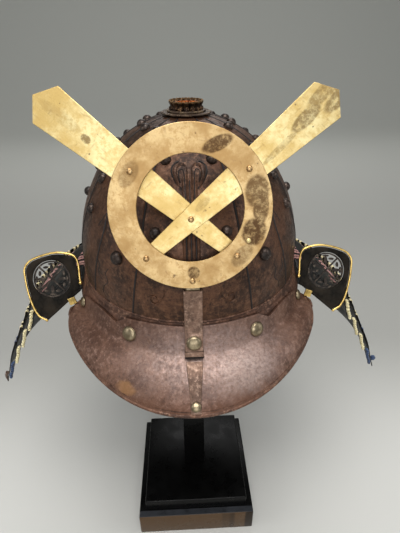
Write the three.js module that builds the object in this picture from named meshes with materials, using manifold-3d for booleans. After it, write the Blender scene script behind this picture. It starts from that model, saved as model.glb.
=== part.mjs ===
// A kabuto, the helmet of a samurai, on the plain black stand that holds it up.
// Millimetres, +Z up. The origin is on the floor under the middle of the stand, and the helmet faces -Y.
import * as THREE from "three";
import { mergeVertices } from "three/addons/utils/BufferGeometryUtils.js";
import Module from "manifold-3d";

const wasm = await Module();
wasm.setup();

// ---- driving dimensions --------------------------------------------------------------------------------

const GAP = 0.3; // between two pieces that touch

const stand = {
  lower: { side: 160, height: 38 },
  upper: { side: 141, height: 20 },
  chamfer: 1.5,
  post: 29,
};

// The bowl is half an ellipsoid on a short upright skirt. Angles go round it from the front, towards +X.
const bowl = {
  half: 110,
  front: 124.5,
  back: 131,
  rim: 411,
  base: 426,
  rise: 130.5,
  wall: 1.6,
  lip: 4,
  lipGap: 0.6,
  joggle: 1.6,
  seams: [27.5, 54, 79, 104, 128.5, 152.5],
  seamLean: 11,
  leanHeight: 64,
};
const crown = bowl.base + bowl.rise;
const domeRows = [14, 28, 42, 55, 66, 75, 82.8]; // degrees up the ellipsoid
const rivet = { radius: 4.7, height: 4.4, aheadOfSeam: 6, rows: [27, 40, 54, 68] };
const starRivet = { radius: 6, height: 5, angles: [35, 145], z: 460 };

const pad = { radius: 60, bottom: 510, below: 6.4 }; // how far its top is under the crown

const band = { top: 410.6, bottom: 387, flare: 8, wall: 2, sides: 36 };

// The visor: a flange on the band, and a brim that slopes down to a rounded point in front.
const visor = {
  wall: 2,
  clear: 0.8,
  reach: 68,
  foot: 386.5,
  half: 121,
  heel: -70,
  nose: 102.5,
  pointed: 1.5,
  tip: 354.5,
  sideLift: 27,
  bulge: 4,
};
// The flange's upper edge: a tab in the middle, a notch each side of it, and a lobe at each end.
const flangeEdge = [
  { angle: 0, z: 409.5 },
  { angle: 11, z: 409.5 },
  { angle: 22, z: 409.2 },
  { angle: 30, z: 407.8 },
  { angle: 35.5, z: 400.5 },
  { angle: 47, z: 404.5 },
  { angle: 56, z: 402.5 },
  { angle: 62, z: 398.5 },
  { angle: 68, z: 391.5 },
];

const crest = {
  centre: [0, -111.5, 506.7],
  lean: 17,
  ring: { outer: 61, inner: 39.75 },
  plate: 1.6,
  cross: -8,
  blade: { axis: 50.4, low: -52, shoulder: 128.4, tip: 138.8, width: 16.6, spread: 0.115 },
  rivetsAt: [56, -44.7],
  bottomRivet: 55,
  rivet: { head: 2.7, rise: 1.5, shank: 1.2, hole: 1.5 },
};

// The crest holder's middle line, as depth and height, from behind the crest ring down onto the visor.
const holder = {
  width: 15,
  depth: 4.6,
  wall: 1.1,
  route: [
    { y: -128.6, z: 446 },
    { y: -129.1, z: 425 },
    { y: -131.2, z: 411 },
    { y: -134.9, z: 400 },
    { y: -138.9, z: 387.5 },
  ],
};
const tang = {
  width: 11,
  thick: 1.4,
  route: [
    { y: -123.3, z: 464.3 },
    { y: -128.2, z: 448.6 },
    { y: -128.7, z: 444 },
    { y: -129.1, z: 425 },
    { y: -130.3, z: 417 },
  ],
};
const tongue = { topWidth: 13.5, endWidth: 8.5, thick: 1.2 };

// Brass heads: on the visor's flange and at its ends, on the holder and at the tongue's tip.
const brassRivet = {
  radius: 6.6,
  height: 3.2,
  flange: { angle: 27.5, z: 396, size: 1 },
  end: { angle: 62, z: 392.6, size: 0.8 },
  holder: { size: 0.93 },
  tip: { share: 0.86, size: 0.61, clear: 0.2 },
};

// The shikoro: five lames that flare from the band, each below the last and outside it.
// Each is a right and a left half, parted at the middle of the back.
const shikoro = {
  front: -51,
  wall: 2,
  roundTop: 23, // how much deeper than wide the top edge's half round is
  lace: 1.4,
  overlap: 7,
  top: { r: 114, z: 404 },
  shoulder: { r: 134.3, z: 399 },
  knee: { r: 169, z: 368 },
  hem: { r: 199, z: 275 },
  lames: 5,
  columns: 22,
  seam: 0.0003, // half the gap between a lame's halves, as a share of the way round
};

// A wing leans back from its foot. Its outline is given as distance to the side and up its own plane.
const cheek = {
  y: -52,
  foot: 366,
  lean: 25,
  wall: 2,
  outline: [
    { x: 113.5, up: 29.5 },
    { x: 115, up: 42 },
    { x: 115.6, up: 54 },
    { x: 118, up: 61.5 },
    { x: 125, up: 64.8 },
    { x: 137, up: 66 },
    { x: 151, up: 63 },
    { x: 161.5, up: 58.5 },
    { x: 166.3, up: 52 },
    { x: 166.3, up: 44 },
    { x: 164.5, up: 30 },
    { x: 160, up: 13.5 },
    { x: 155, up: 4 },
    { x: 148, up: 0 },
  ],
  window: { x: 141, up: 41, radius: 19 },
  rim: 1.6,
  rimStart: 7,
  openwork: { pitch: 6.6, hole: 2.3, wall: 1.6 },
};

const tehen = {
  plate: { radius: 22, lobes: 12, swell: 1.6, z: crown - 0.4, thick: 1.2 },
  washer: { outer: 18, thick: 1.5 },
  petals: { count: 16, base: 14.6, flare: 15.9, inner: 11.9, height: 7.6, scallop: 0.9 },
  sleeve: { outer: 11.4, inner: 10.4, bottom: crown - 5.8 },
};

// ---- shapes --------------------------------------------------------------------------------------------

const radians = THREE.MathUtils.degToRad;
const lerp = THREE.MathUtils.lerp;

function solidOf(geometry) {
  const bare = geometry.clone();
  bare.deleteAttribute("normal");
  bare.deleteAttribute("uv");
  const merged = mergeVertices(bare, 1e-4);
  return new wasm.Manifold(
    new wasm.Mesh({
      numProp: 3,
      vertProperties: new Float32Array(merged.attributes.position.array),
      triVerts: new Uint32Array(merged.index.array),
    }),
  );
}

function geometryOf(solid) {
  const { numProp, vertProperties, triVerts } = solid.getMesh();
  const positions = new Float32Array((vertProperties.length / numProp) * 3);
  for (let i = 0; i * numProp < vertProperties.length; i++)
    positions.set(vertProperties.subarray(i * numProp, i * numProp + 3), i * 3);
  return new THREE.BufferGeometry()
    .setAttribute("position", new THREE.BufferAttribute(positions, 3))
    .setIndex(new THREE.BufferAttribute(new Uint32Array(triVerts), 1));
}

const joined = (geometries) => geometryOf(geometries.map(solidOf).reduce((a, b) => a.add(b)));
const cut = (geometry, tools) =>
  geometryOf(tools.map(solidOf).reduce((a, b) => a.subtract(b), solidOf(geometry)));

// A closed wall between two skins. point(i, j, side) gives the corners, where side 0 is the outer skin,
// i runs to the right and j runs up as the outer skin is looked at. A closed wall runs all the way round.
function wall(columns, rows, point, closed = false) {
  const across = closed ? columns : columns + 1;
  const positions = [];
  const index = [];
  for (const side of [0, 1])
    for (let i = 0; i < across; i++)
      for (let j = 0; j <= rows; j++) positions.push(...point(i, j, side).toArray());
  const at = (i, j, side) => (side * across + (i % across)) * (rows + 1) + j;
  const quad = (a, b, c, d) => index.push(a, b, c, a, c, d);
  for (let i = 0; i < columns; i++) {
    for (let j = 0; j < rows; j++) {
      quad(at(i, j, 0), at(i + 1, j, 0), at(i + 1, j + 1, 0), at(i, j + 1, 0));
      quad(at(i, j, 1), at(i, j + 1, 1), at(i + 1, j + 1, 1), at(i + 1, j, 1));
    }
    quad(at(i, 0, 1), at(i + 1, 0, 1), at(i + 1, 0, 0), at(i, 0, 0));
    quad(at(i, rows, 0), at(i + 1, rows, 0), at(i + 1, rows, 1), at(i, rows, 1));
  }
  for (let j = 0; j < rows && !closed; j++) {
    quad(at(0, j, 0), at(0, j + 1, 0), at(0, j + 1, 1), at(0, j, 1));
    quad(at(columns, j, 1), at(columns, j + 1, 1), at(columns, j + 1, 0), at(columns, j, 0));
  }
  return new THREE.BufferGeometry()
    .setAttribute("position", new THREE.Float32BufferAttribute(positions, 3))
    .setIndex(index);
}

// A turned solid or ring about the Z axis, from its half section as [radius, height] pairs.
function turned(section, sides) {
  const points = section.map(([r, z]) => new THREE.Vector2(r, z));
  return new THREE.LatheGeometry(points, sides).rotateX(Math.PI / 2);
}

function domeHead(radius, height, sunk, sides) {
  const rim = [radius, 0.2 * height];
  const shoulder = [0.6 * radius, 0.9 * height];
  return turned([[0, -sunk], [radius, -sunk], rim, shoulder, [0, height]], sides);
}

// Stands a shape made along +Z on a point, along a normal.
function stoodOn(geometry, point, normal) {
  const turn = new THREE.Quaternion().setFromUnitVectors(new THREE.Vector3(0, 0, 1), normal);
  return geometry.applyQuaternion(turn).translate(point.x, point.y, point.z);
}

function block(side, bottom, height, chamfer) {
  const half = side / 2 - chamfer;
  const square = new THREE.Shape([
    new THREE.Vector2(-half, -half),
    new THREE.Vector2(half, -half),
    new THREE.Vector2(half, half),
    new THREE.Vector2(-half, half),
  ]);
  return new THREE.ExtrudeGeometry(square, {
    depth: height - 2 * chamfer,
    bevelSegments: 1,
    bevelSize: chamfer,
    bevelThickness: chamfer,
  }).translate(0, 0, bottom + chamfer);
}

// A flat bar of changing width along a route in the YZ plane; the route runs from the top down.
function strap(route, width, thick) {
  const along = (k) => {
    const next = route[Math.min(k + 1, route.length - 1)];
    const last = route[Math.max(k - 1, 0)];
    return new THREE.Vector2(next.y - last.y, next.z - last.z).normalize();
  };
  return wall(1, route.length - 1, (i, j, side) => {
    const k = route.length - 1 - j;
    const t = along(k);
    const push = (side ? -0.5 : 0.5) * thick;
    const half = width(k / (route.length - 1)) / 2;
    return new THREE.Vector3(i ? half : -half, route[k].y + t.y * push, route[k].z - t.x * push);
  });
}

// ---- the bowl's surface --------------------------------------------------------------------------------

const reachAt = (z) => (z > bowl.base ? Math.sqrt(1 - ((z - bowl.base) / bowl.rise) ** 2) : 1);

function bowlNormal(angle, z) {
  const depth = Math.cos(angle) > 0 ? bowl.front : bowl.back;
  const up = Math.max(0, z - bowl.base) / bowl.rise ** 2;
  const reach = reachAt(z);
  return new THREE.Vector3(
    (reach * Math.sin(angle)) / bowl.half,
    (-reach * Math.cos(angle)) / depth,
    up,
  ).normalize();
}

function bowlPoint(angle, z, offset) {
  const depth = Math.cos(angle) > 0 ? bowl.front : bowl.back;
  const reach = reachAt(z);
  const onSkin = new THREE.Vector3(bowl.half * reach * Math.sin(angle), -depth * reach * Math.cos(angle), z);
  return onSkin.addScaledVector(bowlNormal(angle, z), offset);
}

const domeHeight = (degrees) => bowl.base + bowl.rise * Math.sin(radians(degrees));
const bowlHeights = [bowl.rim, bowl.base, ...domeRows.map(domeHeight)];

// A seam that starts at an angle on the rim leans forward as it rises.
function seamAngle(start, z) {
  const risen = Math.min(1, (z - bowl.rim) / bowl.leanHeight);
  return radians(start) - radians(bowl.seamLean) * Math.sin(radians(start)) * risen;
}

// One plate of the bowl between two seams. An edge that lies under its neighbour has a joggled lip.
function bowlPlate(from, to, columns, lipAtStart, lipAtEnd) {
  const under = -bowl.wall - bowl.lipGap;
  const lines = [];
  if (lipAtStart) for (const shift of [-bowl.lip, bowl.lipGap]) lines.push({ start: from, shift, offset: under });
  for (let i = 0; i <= columns; i++) {
    const shift = (i === 0 && lipAtStart ? bowl.joggle : 0) - (i === columns && lipAtEnd ? bowl.joggle : 0);
    lines.push({ start: lerp(from, to, i / columns), shift, offset: 0 });
  }
  if (lipAtEnd) for (const shift of [-bowl.lipGap, bowl.lip]) lines.push({ start: to, shift, offset: under });
  return wall(lines.length - 1, bowlHeights.length - 1, (i, j, side) => {
    const z = bowlHeights[j];
    const { start, shift, offset } = lines[i];
    const angle = seamAngle(start, z) + shift / (bowl.half * reachAt(z));
    return bowlPoint(angle, z, offset - side * bowl.wall);
  });
}

const bowlStud = (degrees, z, size) =>
  stoodOn(
    domeHead(size.radius, size.height, 1, 6),
    bowlPoint(radians(degrees), z, 0),
    bowlNormal(radians(degrees), z),
  );

// A raised line on the front plate, through points given as distance to the right and height.
function raisedLine(points, width) {
  const onBowl = (x, z, offset) => bowlPoint(Math.asin(x / (bowl.half * reachAt(z))), z, offset);
  return wall(points.length - 1, 1, (i, j, side) => {
    const next = points[Math.min(i + 1, points.length - 1)];
    const last = points[Math.max(i - 1, 0)];
    const left = new THREE.Vector2(last[1] - next[1], next[0] - last[0]).normalize();
    const aside = (j ? 0.5 : -0.5) * width;
    return onBowl(points[i][0] + left.x * aside, points[i][1] + left.y * aside, side ? -0.9 : 0.9);
  });
}

function scrollLine(centre, size, from, turn, steps) {
  return Array.from({ length: steps + 1 }, (_, i) => {
    const angle = radians(from + (turn * i) / steps);
    const radius = size * (1 - (0.6 * i) / steps);
    return [centre[0] + radius * Math.cos(angle), centre[1] + radius * Math.sin(angle)];
  });
}

function frontRelief() {
  const parts = [];
  for (const x of [-6, 0, 6]) {
    const rib = [472, 494, 516].map((z) => [x, z]);
    parts.push(raisedLine(rib, 1.8));
  }
  for (const side of [-1, 1]) {
    parts.push(raisedLine(scrollLine([side * 9, 520], 7, side > 0 ? 190 : -10, side * -290, 7), 1.8));
    parts.push(raisedLine(scrollLine([side * 30, 430], 4.5, side > 0 ? 100 : 80, side * -270, 5), 1.6));
  }
  return parts;
}

// ---- finishes ------------------------------------------------------------------------------------------

const paint = (color, roughness, metalness) => () => new THREE.MeshStandardMaterial({ color, roughness, metalness });
const finish = {
  black: paint(0x0d0d0f, 0.35, 0.1),
  pad: paint(0x1a1a1c, 0.8, 0),
  iron: paint(0x503c37, 0.6, 0.7),
  russet: paint(0x5a3d34, 0.55, 0.6),
  gold: paint(0xc9a24e, 0.38, 0.95),
  brass: paint(0x8a7040, 0.45, 0.9),
  copper: paint(0x9a5326, 0.5, 0.8),
  lacquer: paint(0x17130f, 0.4, 0.2),
  leather: paint(0x2a211c, 0.7, 0),
  silk: paint(0xb9b193, 0.85, 0),
};

const kabuto = new THREE.Group();

function add(group, name, geometry, material) {
  const mesh = new THREE.Mesh(geometry, material());
  mesh.name = name;
  group.add(mesh);
  return mesh;
}

function newGroup(parent) {
  const group = new THREE.Group();
  parent.add(group);
  return group;
}

// ---- stand ---------------------------------------------------------------------------------------------

function buildStand(group) {
  const { lower, upper, chamfer, post } = stand;
  const upperBottom = lower.height + GAP;
  const postBottom = upperBottom + upper.height + GAP;
  add(group, "stand_lower_step", block(lower.side, 0, lower.height, chamfer), finish.black);
  add(group, "stand_upper_step", block(upper.side, upperBottom, upper.height, chamfer), finish.black);
  add(group, "stand_post", block(post, postBottom, pad.bottom - GAP - postBottom, 0.8), finish.black);
  const top = crown - pad.below;
  const cap = [[0, pad.bottom], [pad.radius, pad.bottom], [pad.radius, top - 31], [49, top - 17.5], [33, top - 7]];
  add(group, "head_pad", turned([...cap, [18, top], [0, top]], 20), finish.pad);
}

// ---- bowl ----------------------------------------------------------------------------------------------

// The rivets of a seam stand on the plate in front of it, which lies over its neighbour there.
function seamStuds(seam, rows) {
  return rows.map((row) => {
    const z = domeHeight(row);
    const inFront = Math.sign(seam) * rivet.aheadOfSeam;
    return bowlStud(THREE.MathUtils.radToDeg(seamAngle(seam, z)) - inFront, z, rivet);
  });
}

function starStuds(side, from, to) {
  return starRivet.angles
    .filter((angle) => angle > from && angle < to)
    .map((angle) => bowlStud(side * angle, starRivet.z, starRivet));
}

function buildBowl(group) {
  const { seams } = bowl;
  const [first] = seams;
  const last = seams[seams.length - 1];
  const frontStuds = [-first, first].flatMap((seam) => seamStuds(seam, rivet.rows));
  const frontPlate = bowlPlate(-first, first, 6, false, false);
  add(group, "bowl_plate_front", joined([frontPlate, ...frontStuds, ...frontRelief()]), finish.iron);
  for (const [name, side] of [["left", -1], ["right", 1]])
    for (let k = 0; k + 1 < seams.length; k++) {
      const ends = side > 0 ? [seams[k], seams[k + 1]] : [-seams[k + 1], -seams[k]];
      const plate = bowlPlate(...ends, 3, side > 0, side < 0);
      const studs = [...seamStuds(side * seams[k + 1], rivet.rows), ...starStuds(side, seams[k], seams[k + 1])];
      add(group, `bowl_plate_${name}_${k + 1}`, joined([plate, ...studs]), finish.iron);
    }
  add(group, "bowl_plate_back", bowlPlate(last, 360 - last, 6, true, true), finish.iron);
}

// ---- tehen, the fitting round the hole in the crown ----------------------------------------------------

function buildTehen(group) {
  const { plate, washer, petals, sleeve } = tehen;
  const hole = sleeve.outer + GAP;
  const lobed = new THREE.Shape(
    Array.from({ length: plate.lobes * 3 }, (_, i) => {
      const angle = (i * 2 * Math.PI) / (plate.lobes * 3);
      const radius = plate.radius + (i % 3 ? plate.swell : -plate.swell / 2);
      return new THREE.Vector2(radius * Math.cos(angle), radius * Math.sin(angle));
    }),
  );
  lobed.holes.push(new THREE.Path().absarc(0, 0, hole, 0, 2 * Math.PI));
  const plateShape = new THREE.ExtrudeGeometry(lobed, { depth: plate.thick, bevelEnabled: false, curveSegments: 8 });
  add(group, "tehen_plate", plateShape.translate(0, 0, plate.z), finish.iron);

  const washerBottom = plate.z + plate.thick + GAP;
  const washerTop = washerBottom + washer.thick;
  const flat = [[hole, washerBottom], [washer.outer, washerBottom], [washer.outer, washerTop], [hole, washerTop]];
  add(group, "tehen_washer", turned([...flat, flat[0]], 20), finish.iron);

  const foot = washerTop + GAP;
  const sides = petals.count * 2;
  const outside = [petals.base, petals.base + 0.6, petals.flare];
  const crown = wall(sides, 2, (i, j, side) => {
    const angle = (i * 2 * Math.PI) / sides;
    const scallop = j === 2 ? (i % 2 ? -petals.scallop : petals.scallop) : 0;
    const radius = side ? petals.inner : outside[j];
    const z = foot + [0, petals.height * 0.45, petals.height - petals.scallop][j] + scallop;
    return new THREE.Vector3(radius * Math.sin(angle), -radius * Math.cos(angle), z);
  }, true);
  add(group, "tehen_petal_ring", crown, finish.iron);

  const top = foot + petals.height * 0.7;
  const tube = [[sleeve.inner, sleeve.bottom], [sleeve.outer, sleeve.bottom], [sleeve.outer, top], [sleeve.inner, top]];
  add(group, "tehen_sleeve", turned([...tube, tube[0]], 16), finish.copper);
}

// ---- koshimaki, the band under the bowl, and the visor -------------------------------------------------

// How far the band's outer face stands off the bowl's skirt at a height.
const bandOffset = (z) => lerp(0.3, band.flare, (band.top - z) / (band.top - band.bottom));

function buildBand(group) {
  const heights = [band.bottom, band.top];
  const ring = wall(band.sides, 1, (i, j, side) => {
    const z = heights[j];
    return bowlPoint((i * 2 * Math.PI) / band.sides, z, bandOffset(z) - side * band.wall);
  }, true);
  add(group, "koshimaki_band", ring, finish.iron);
}

// The visor's surface at an angle round the band, at a share of the way from the flange's foot to the edge.
function brimPoint(angle, share, lift) {
  const swing = (angle / visor.reach) * (Math.PI / 2);
  const foot = bowlPoint(radians(angle), visor.foot, bandOffset(visor.foot) + visor.clear + visor.wall);
  const edge = new THREE.Vector3(
    visor.half * Math.sin(swing),
    visor.heel - visor.nose * Math.cos(swing) ** visor.pointed,
    visor.tip + visor.sideLift * (1 - Math.cos(swing)),
  );
  const point = foot.clone().lerp(edge, share);
  const out = new THREE.Vector3(edge.x - foot.x, edge.y - foot.y, 0).normalize();
  const fall = Math.atan2(foot.z - edge.z, Math.hypot(edge.x - foot.x, edge.y - foot.y));
  const normal = new THREE.Vector3(out.x * Math.sin(fall), out.y * Math.sin(fall), Math.cos(fall));
  return point.addScaledVector(normal, lift + visor.bulge * Math.sin(Math.PI * share));
}

const mirrored = (table) => [
  ...table.slice(1).reverse().map((row) => ({ ...row, angle: -row.angle })),
  ...table,
];

function buildVisor(group) {
  const columns = mirrored(flangeEdge);
  const brimShares = [1, 0.66, 0.33, 0];
  const rows = brimShares.length; // then the flange's top edge
  const shape = wall(columns.length - 1, rows, (i, j, side) => {
    const { angle, z } = columns[i];
    if (j < brimShares.length - 1) return brimPoint(angle, brimShares[j], -side * visor.wall);
    const height = j === rows ? z : visor.foot;
    return bowlPoint(radians(angle), height, bandOffset(height) + visor.clear + (1 - side) * visor.wall);
  });
  add(group, "visor", shape, finish.russet);
}

// ---- crest: a ring over two crossed blades, held by a tang in a flat holder ----------------------------

function bladeShape() {
  const { low, shoulder, tip, width, spread } = crest.blade;
  const half = (s) => (width + spread * s) / 2;
  return new THREE.Shape([
    new THREE.Vector2(-half(low), low),
    new THREE.Vector2(half(low), low),
    new THREE.Vector2(half(shoulder), shoulder),
    new THREE.Vector2(0, tip),
    new THREE.Vector2(-half(shoulder), shoulder),
  ]);
}

const rod = (radius, low, high) => turned([[0, low], [radius, low], [radius, high], [0, high]], 6);

// A rivet through a stack of plates, with a domed head in front and a flat one behind.
function throughRivet(front, back) {
  const { head, rise, shank } = crest.rivet;
  const behind = back - GAP;
  const ahead = front + GAP;
  return turned(
    [[0, behind - 0.8], [head * 0.8, behind - 0.8], [head * 0.8, behind], [shank, behind], [shank, ahead],
      [head, ahead], [head * 0.6, ahead + rise * 0.85], [0, ahead + rise]],
    6,
  );
}

function buildCrest(parent) {
  const group = newGroup(parent);
  group.position.set(...crest.centre);
  group.rotation.x = radians(90 - crest.lean);
  const { ring, plate, blade, cross, bottomRivet } = crest;
  const layer = (n) => -n * (plate + GAP); // the back of the ring is layer 0
  const bladeAt = (side, s) => [side * s * Math.sin(radians(blade.axis)), cross + s * Math.cos(radians(blade.axis))];
  const hole = ([x, y]) => rod(crest.rivet.hole, -3 * plate, 2 * plate).translate(x, y, 0);

  const disc = new THREE.Shape().absarc(0, 0, ring.outer, 0, 2 * Math.PI);
  disc.holes.push(new THREE.Path().absarc(0, 0, ring.inner, 0, 2 * Math.PI));
  const flat = { depth: plate, bevelEnabled: false, curveSegments: 22 };
  const ringSpots = [-1, 1].flatMap((side) => crest.rivetsAt.map((s) => bladeAt(side, s)));
  const bottomSpot = [0, -bottomRivet];
  const ringGeometry = new THREE.ExtrudeGeometry(disc, flat);
  add(group, "crest_ring", cut(ringGeometry, [...ringSpots, bottomSpot].map(hole)), finish.gold);

  for (const [name, side, depth] of [["right", 1, 1], ["left", -1, 2]]) {
    const body = new THREE.ExtrudeGeometry(bladeShape(), flat);
    body.rotateZ(radians(-side * blade.axis)).translate(0, cross, layer(depth));
    const spots = [...crest.rivetsAt.map((s) => bladeAt(side, s)), [0, cross]];
    add(group, `crest_blade_${name}`, cut(body, spots.map(hole)), finish.gold);
    crest.rivetsAt.forEach((s, k) => {
      const [x, y] = bladeAt(side, s);
      const spot = `crest_rivet_${name}_${k ? "lower" : "upper"}`;
      add(group, spot, throughRivet(plate, layer(depth)), finish.brass).position.set(x, y, 0);
    });
  }
  const crossing = add(group, "crest_rivet_crossing", throughRivet(layer(1) + plate, layer(2)), finish.brass);
  crossing.position.set(0, cross, 0);
  const bottom = add(group, "crest_rivet_bottom", throughRivet(plate, layer(1)), finish.brass);
  bottom.position.set(...bottomSpot, 0);
}

function buildHolder(group) {
  const stretched = (shift) => {
    const { route } = holder;
    const [a, b] = [route[0], route[1]];
    const [c, d] = [route[route.length - 2], route[route.length - 1]];
    const beyond = (p, q) => ({ y: p.y + (p.y - q.y) * shift, z: p.z + (p.z - q.z) * shift });
    return [beyond(a, b), ...route.slice(1, -1), beyond(d, c)];
  };
  const outer = strap(holder.route, () => holder.width, holder.depth);
  const inner = strap(stretched(0.3), () => holder.width - 2 * holder.wall, holder.depth - 2 * holder.wall);
  add(group, "crest_holder", cut(outer, [inner]), finish.russet);

  const centre = new THREE.Vector3(...crest.centre);
  const hole = rod(crest.rivet.hole, -9, 9).rotateX(radians(90 - crest.lean));
  const down = new THREE.Vector3(0, -Math.sin(radians(crest.lean)), -Math.cos(radians(crest.lean)));
  hole.translate(...centre.addScaledVector(down, crest.bottomRivet).toArray());
  add(group, "crest_tang", cut(strap(tang.route, () => tang.width, tang.thick), [hole]), finish.brass);

  const middle = (share) => brimPoint(0, share, GAP + tongue.thick / 2);
  const run = [0.14, 0.42, 0.7, 0.97].map((share) => ({ y: middle(share).y, z: middle(share).z }));
  const width = (share) => lerp(tongue.topWidth, tongue.endWidth, share);
  add(group, "visor_tongue", strap(run, width, tongue.thick), finish.russet);
}

// A domed brass rivet head on a face, just clear of it.
function buildBrassRivets(group) {
  const { radius, height } = brassRivet;
  const place = (name, size, point, normal) =>
    add(group, name, stoodOn(domeHead(radius * size, height * size, 0, 8), point, normal), finish.brass);
  const flangeFace = (angle, z) => bowlPoint(radians(angle), z, bandOffset(z) + visor.clear + visor.wall + 2 * GAP);
  const flangeNormal = (angle) => {
    const level = bowlNormal(radians(angle), bowl.base);
    return level.setZ(0.3).normalize();
  };
  for (const [name, side] of [["left", -1], ["right", 1]])
    for (const [node, spot] of [["visor_rivet", brassRivet.flange], ["visor_end_rivet", brassRivet.end]]) {
      const angle = side * spot.angle;
      place(`${node}_${name}`, spot.size, flangeFace(angle, spot.z), flangeNormal(angle));
    }
  const [upper, lower] = holder.route.slice(-2);
  const run = new THREE.Vector3(0, lower.y - upper.y, lower.z - upper.z).normalize();
  const out = new THREE.Vector3(0, run.z, -run.y);
  const face = new THREE.Vector3(0, upper.y, upper.z).lerp(new THREE.Vector3(0, lower.y, lower.z), 0.08);
  place("holder_rivet", brassRivet.holder.size, face.addScaledVector(out, holder.depth / 2 + GAP + 0.1), out);
  const { share, size, clear } = brassRivet.tip;
  const tip = brimPoint(0, share, 3 * GAP + tongue.thick + clear);
  const tipNormal = brimPoint(0, share, 10).sub(brimPoint(0, share, 0)).normalize();
  place("tongue_rivet", size, tip, tipNormal);
}

// ---- shikoro, the laced neck guard ---------------------------------------------------------------------

// A point of the neck guard's flaring form at a half width and a height, at a share of the way round.
// Its front edges lean back behind the wings.
function skirtPoint(radius, z, share) {
  const flared = (radius - shikoro.top.r) / (shikoro.hem.r - shikoro.top.r);
  const depth = radius + shikoro.roundTop * (1 - flared);
  const front = shikoro.front + Math.max(0, z - cheek.foot) * Math.tan(radians(cheek.lean));
  const opening = Math.acos(-front / depth);
  const angle = lerp(opening, 2 * Math.PI - opening, share);
  return new THREE.Vector3(radius * Math.sin(angle), -depth * Math.cos(angle), z);
}

// A band of the neck guard over edges given from the bottom up, between two offsets from its form,
// and from one share of the way round to another.
function skirtBand(edges, inner, outer, from = 0, to = 1) {
  const last = edges.length - 1;
  const columns = Math.round(shikoro.columns * (to - from));
  return wall(columns, last, (i, j, side) => {
    const above = edges[Math.min(j + 1, last)];
    const below = edges[Math.max(j - 1, 0)];
    const slope = new THREE.Vector2(below.r - above.r, below.z - above.z).normalize();
    const offset = side ? inner : outer;
    const share = lerp(from, to, i / columns);
    return skirtPoint(edges[j].r - slope.y * offset, edges[j].z + slope.x * offset, share);
  });
}

function addLame(group, number, edges, lift) {
  const { seam, wall: thick } = shikoro;
  for (const [side, from, to] of [["right", 0, 0.5 - seam], ["left", 0.5 + seam, 1]]) {
    const half = skirtBand(edges, lift, lift + thick, from, to);
    add(group, `shikoro_lame_${number}_${side}`, half, finish.lacquer);
  }
}

function buildShikoro(group) {
  const { wall: thick, lace, top, shoulder, knee, hem, lames } = shikoro;
  const step = thick + lace + 2 * GAP;
  addLame(group, 1, [knee, shoulder, top], 0);
  const along = (share) => ({ r: lerp(knee.r, hem.r, share), z: lerp(knee.z, hem.z, share) });
  const length = Math.hypot(hem.r - knee.r, hem.z - knee.z);
  const lap = shikoro.overlap / length;
  for (let k = 1; k < lames; k++) {
    const start = (k - 1) / (lames - 1);
    const lift = k * step;
    const upper = along(start - lap);
    const laced = skirtBand([along(start + lap * 0.15), upper], lift - lace - GAP, lift - GAP);
    add(group, `shikoro_lacing_${k}`, laced, finish.silk);
    addLame(group, k + 1, [along(k / (lames - 1)), upper], lift);
  }
}

// ---- fukigaeshi, the turned-back wings ----------------------------------------------------------------

// A round grating of bars that cross on the slant.
function openworkDisc(radius) {
  const { pitch, hole, wall: thick } = cheek.openwork;
  const disc = turned([[0, 0], [radius, 0], [radius, thick], [0, thick]], 20);
  const holes = [];
  const reach = Math.ceil(radius / pitch);
  for (let i = -reach; i <= reach; i++)
    for (let j = -reach; j <= reach; j++)
      if (Math.hypot(i, j) * pitch + hole * Math.SQRT2 < radius - 0.8)
        holes.push(new THREE.BoxGeometry(2 * hole, 2 * hole, 4 * thick).translate(i * pitch, j * pitch, 0));
  return cut(disc, holes).rotateZ(Math.PI / 4);
}

function buildWing(parent, name, side) {
  const group = newGroup(parent);
  group.position.set(0, cheek.y, cheek.foot);
  group.rotation.x = radians(90 - cheek.lean);
  const { outline, window, rim, wall: thick, openwork } = cheek;
  const plate = new THREE.Shape(outline.map(({ x, up }) => new THREE.Vector2(side * x, up)));
  plate.holes.push(new THREE.Path().absarc(side * window.x, window.up, window.radius, 0, 2 * Math.PI));
  const flat = { depth: thick, bevelEnabled: false, curveSegments: 10 };
  add(group, `fukigaeshi_${name}`, new THREE.ExtrudeGeometry(plate, flat), finish.leather);

  const fret = add(group, `fukigaeshi_openwork_${name}`, openworkDisc(window.radius - 0.7), finish.lacquer);
  fret.position.set(side * window.x, window.up, (thick - openwork.wall) / 2);

  const away = rim + 2 * GAP;
  const edged = outline.slice(0, -1); // the lowest corner stays bare
  const rounded = edged.map(({ x, up }, k) => {
    const before = outline[Math.max(k - 1, 0)];
    const after = outline[k + 1];
    const out = new THREE.Vector2(before.up - after.up, after.x - before.x).normalize();
    const start = k ? up : up + cheek.rimStart;
    return new THREE.Vector3(side * (x + out.x * away), start + out.y * away, thick / 2);
  });
  const section = new THREE.Shape(
    Array.from({ length: 6 }, (_, i) => {
      const angle = (i * Math.PI) / 3;
      return new THREE.Vector2(rim * Math.cos(angle), rim * Math.sin(angle));
    }),
  );
  const path = new THREE.CatmullRomCurve3(rounded, false, "centripetal");
  const bead = new THREE.ExtrudeGeometry(section, { extrudePath: path, steps: 18, bevelEnabled: false });
  add(group, `fukigaeshi_rim_${name}`, bead, finish.gold);
}

// ---- assembly ------------------------------------------------------------------------------------------

buildStand(newGroup(kabuto));
buildBowl(newGroup(kabuto));
buildTehen(newGroup(kabuto));
buildBand(newGroup(kabuto));
buildVisor(newGroup(kabuto));
buildBrassRivets(newGroup(kabuto));
buildHolder(newGroup(kabuto));
buildCrest(kabuto);
buildShikoro(newGroup(kabuto));
buildWing(kabuto, "left", -1);
buildWing(kabuto, "right", 1);

export default kabuto;
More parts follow.
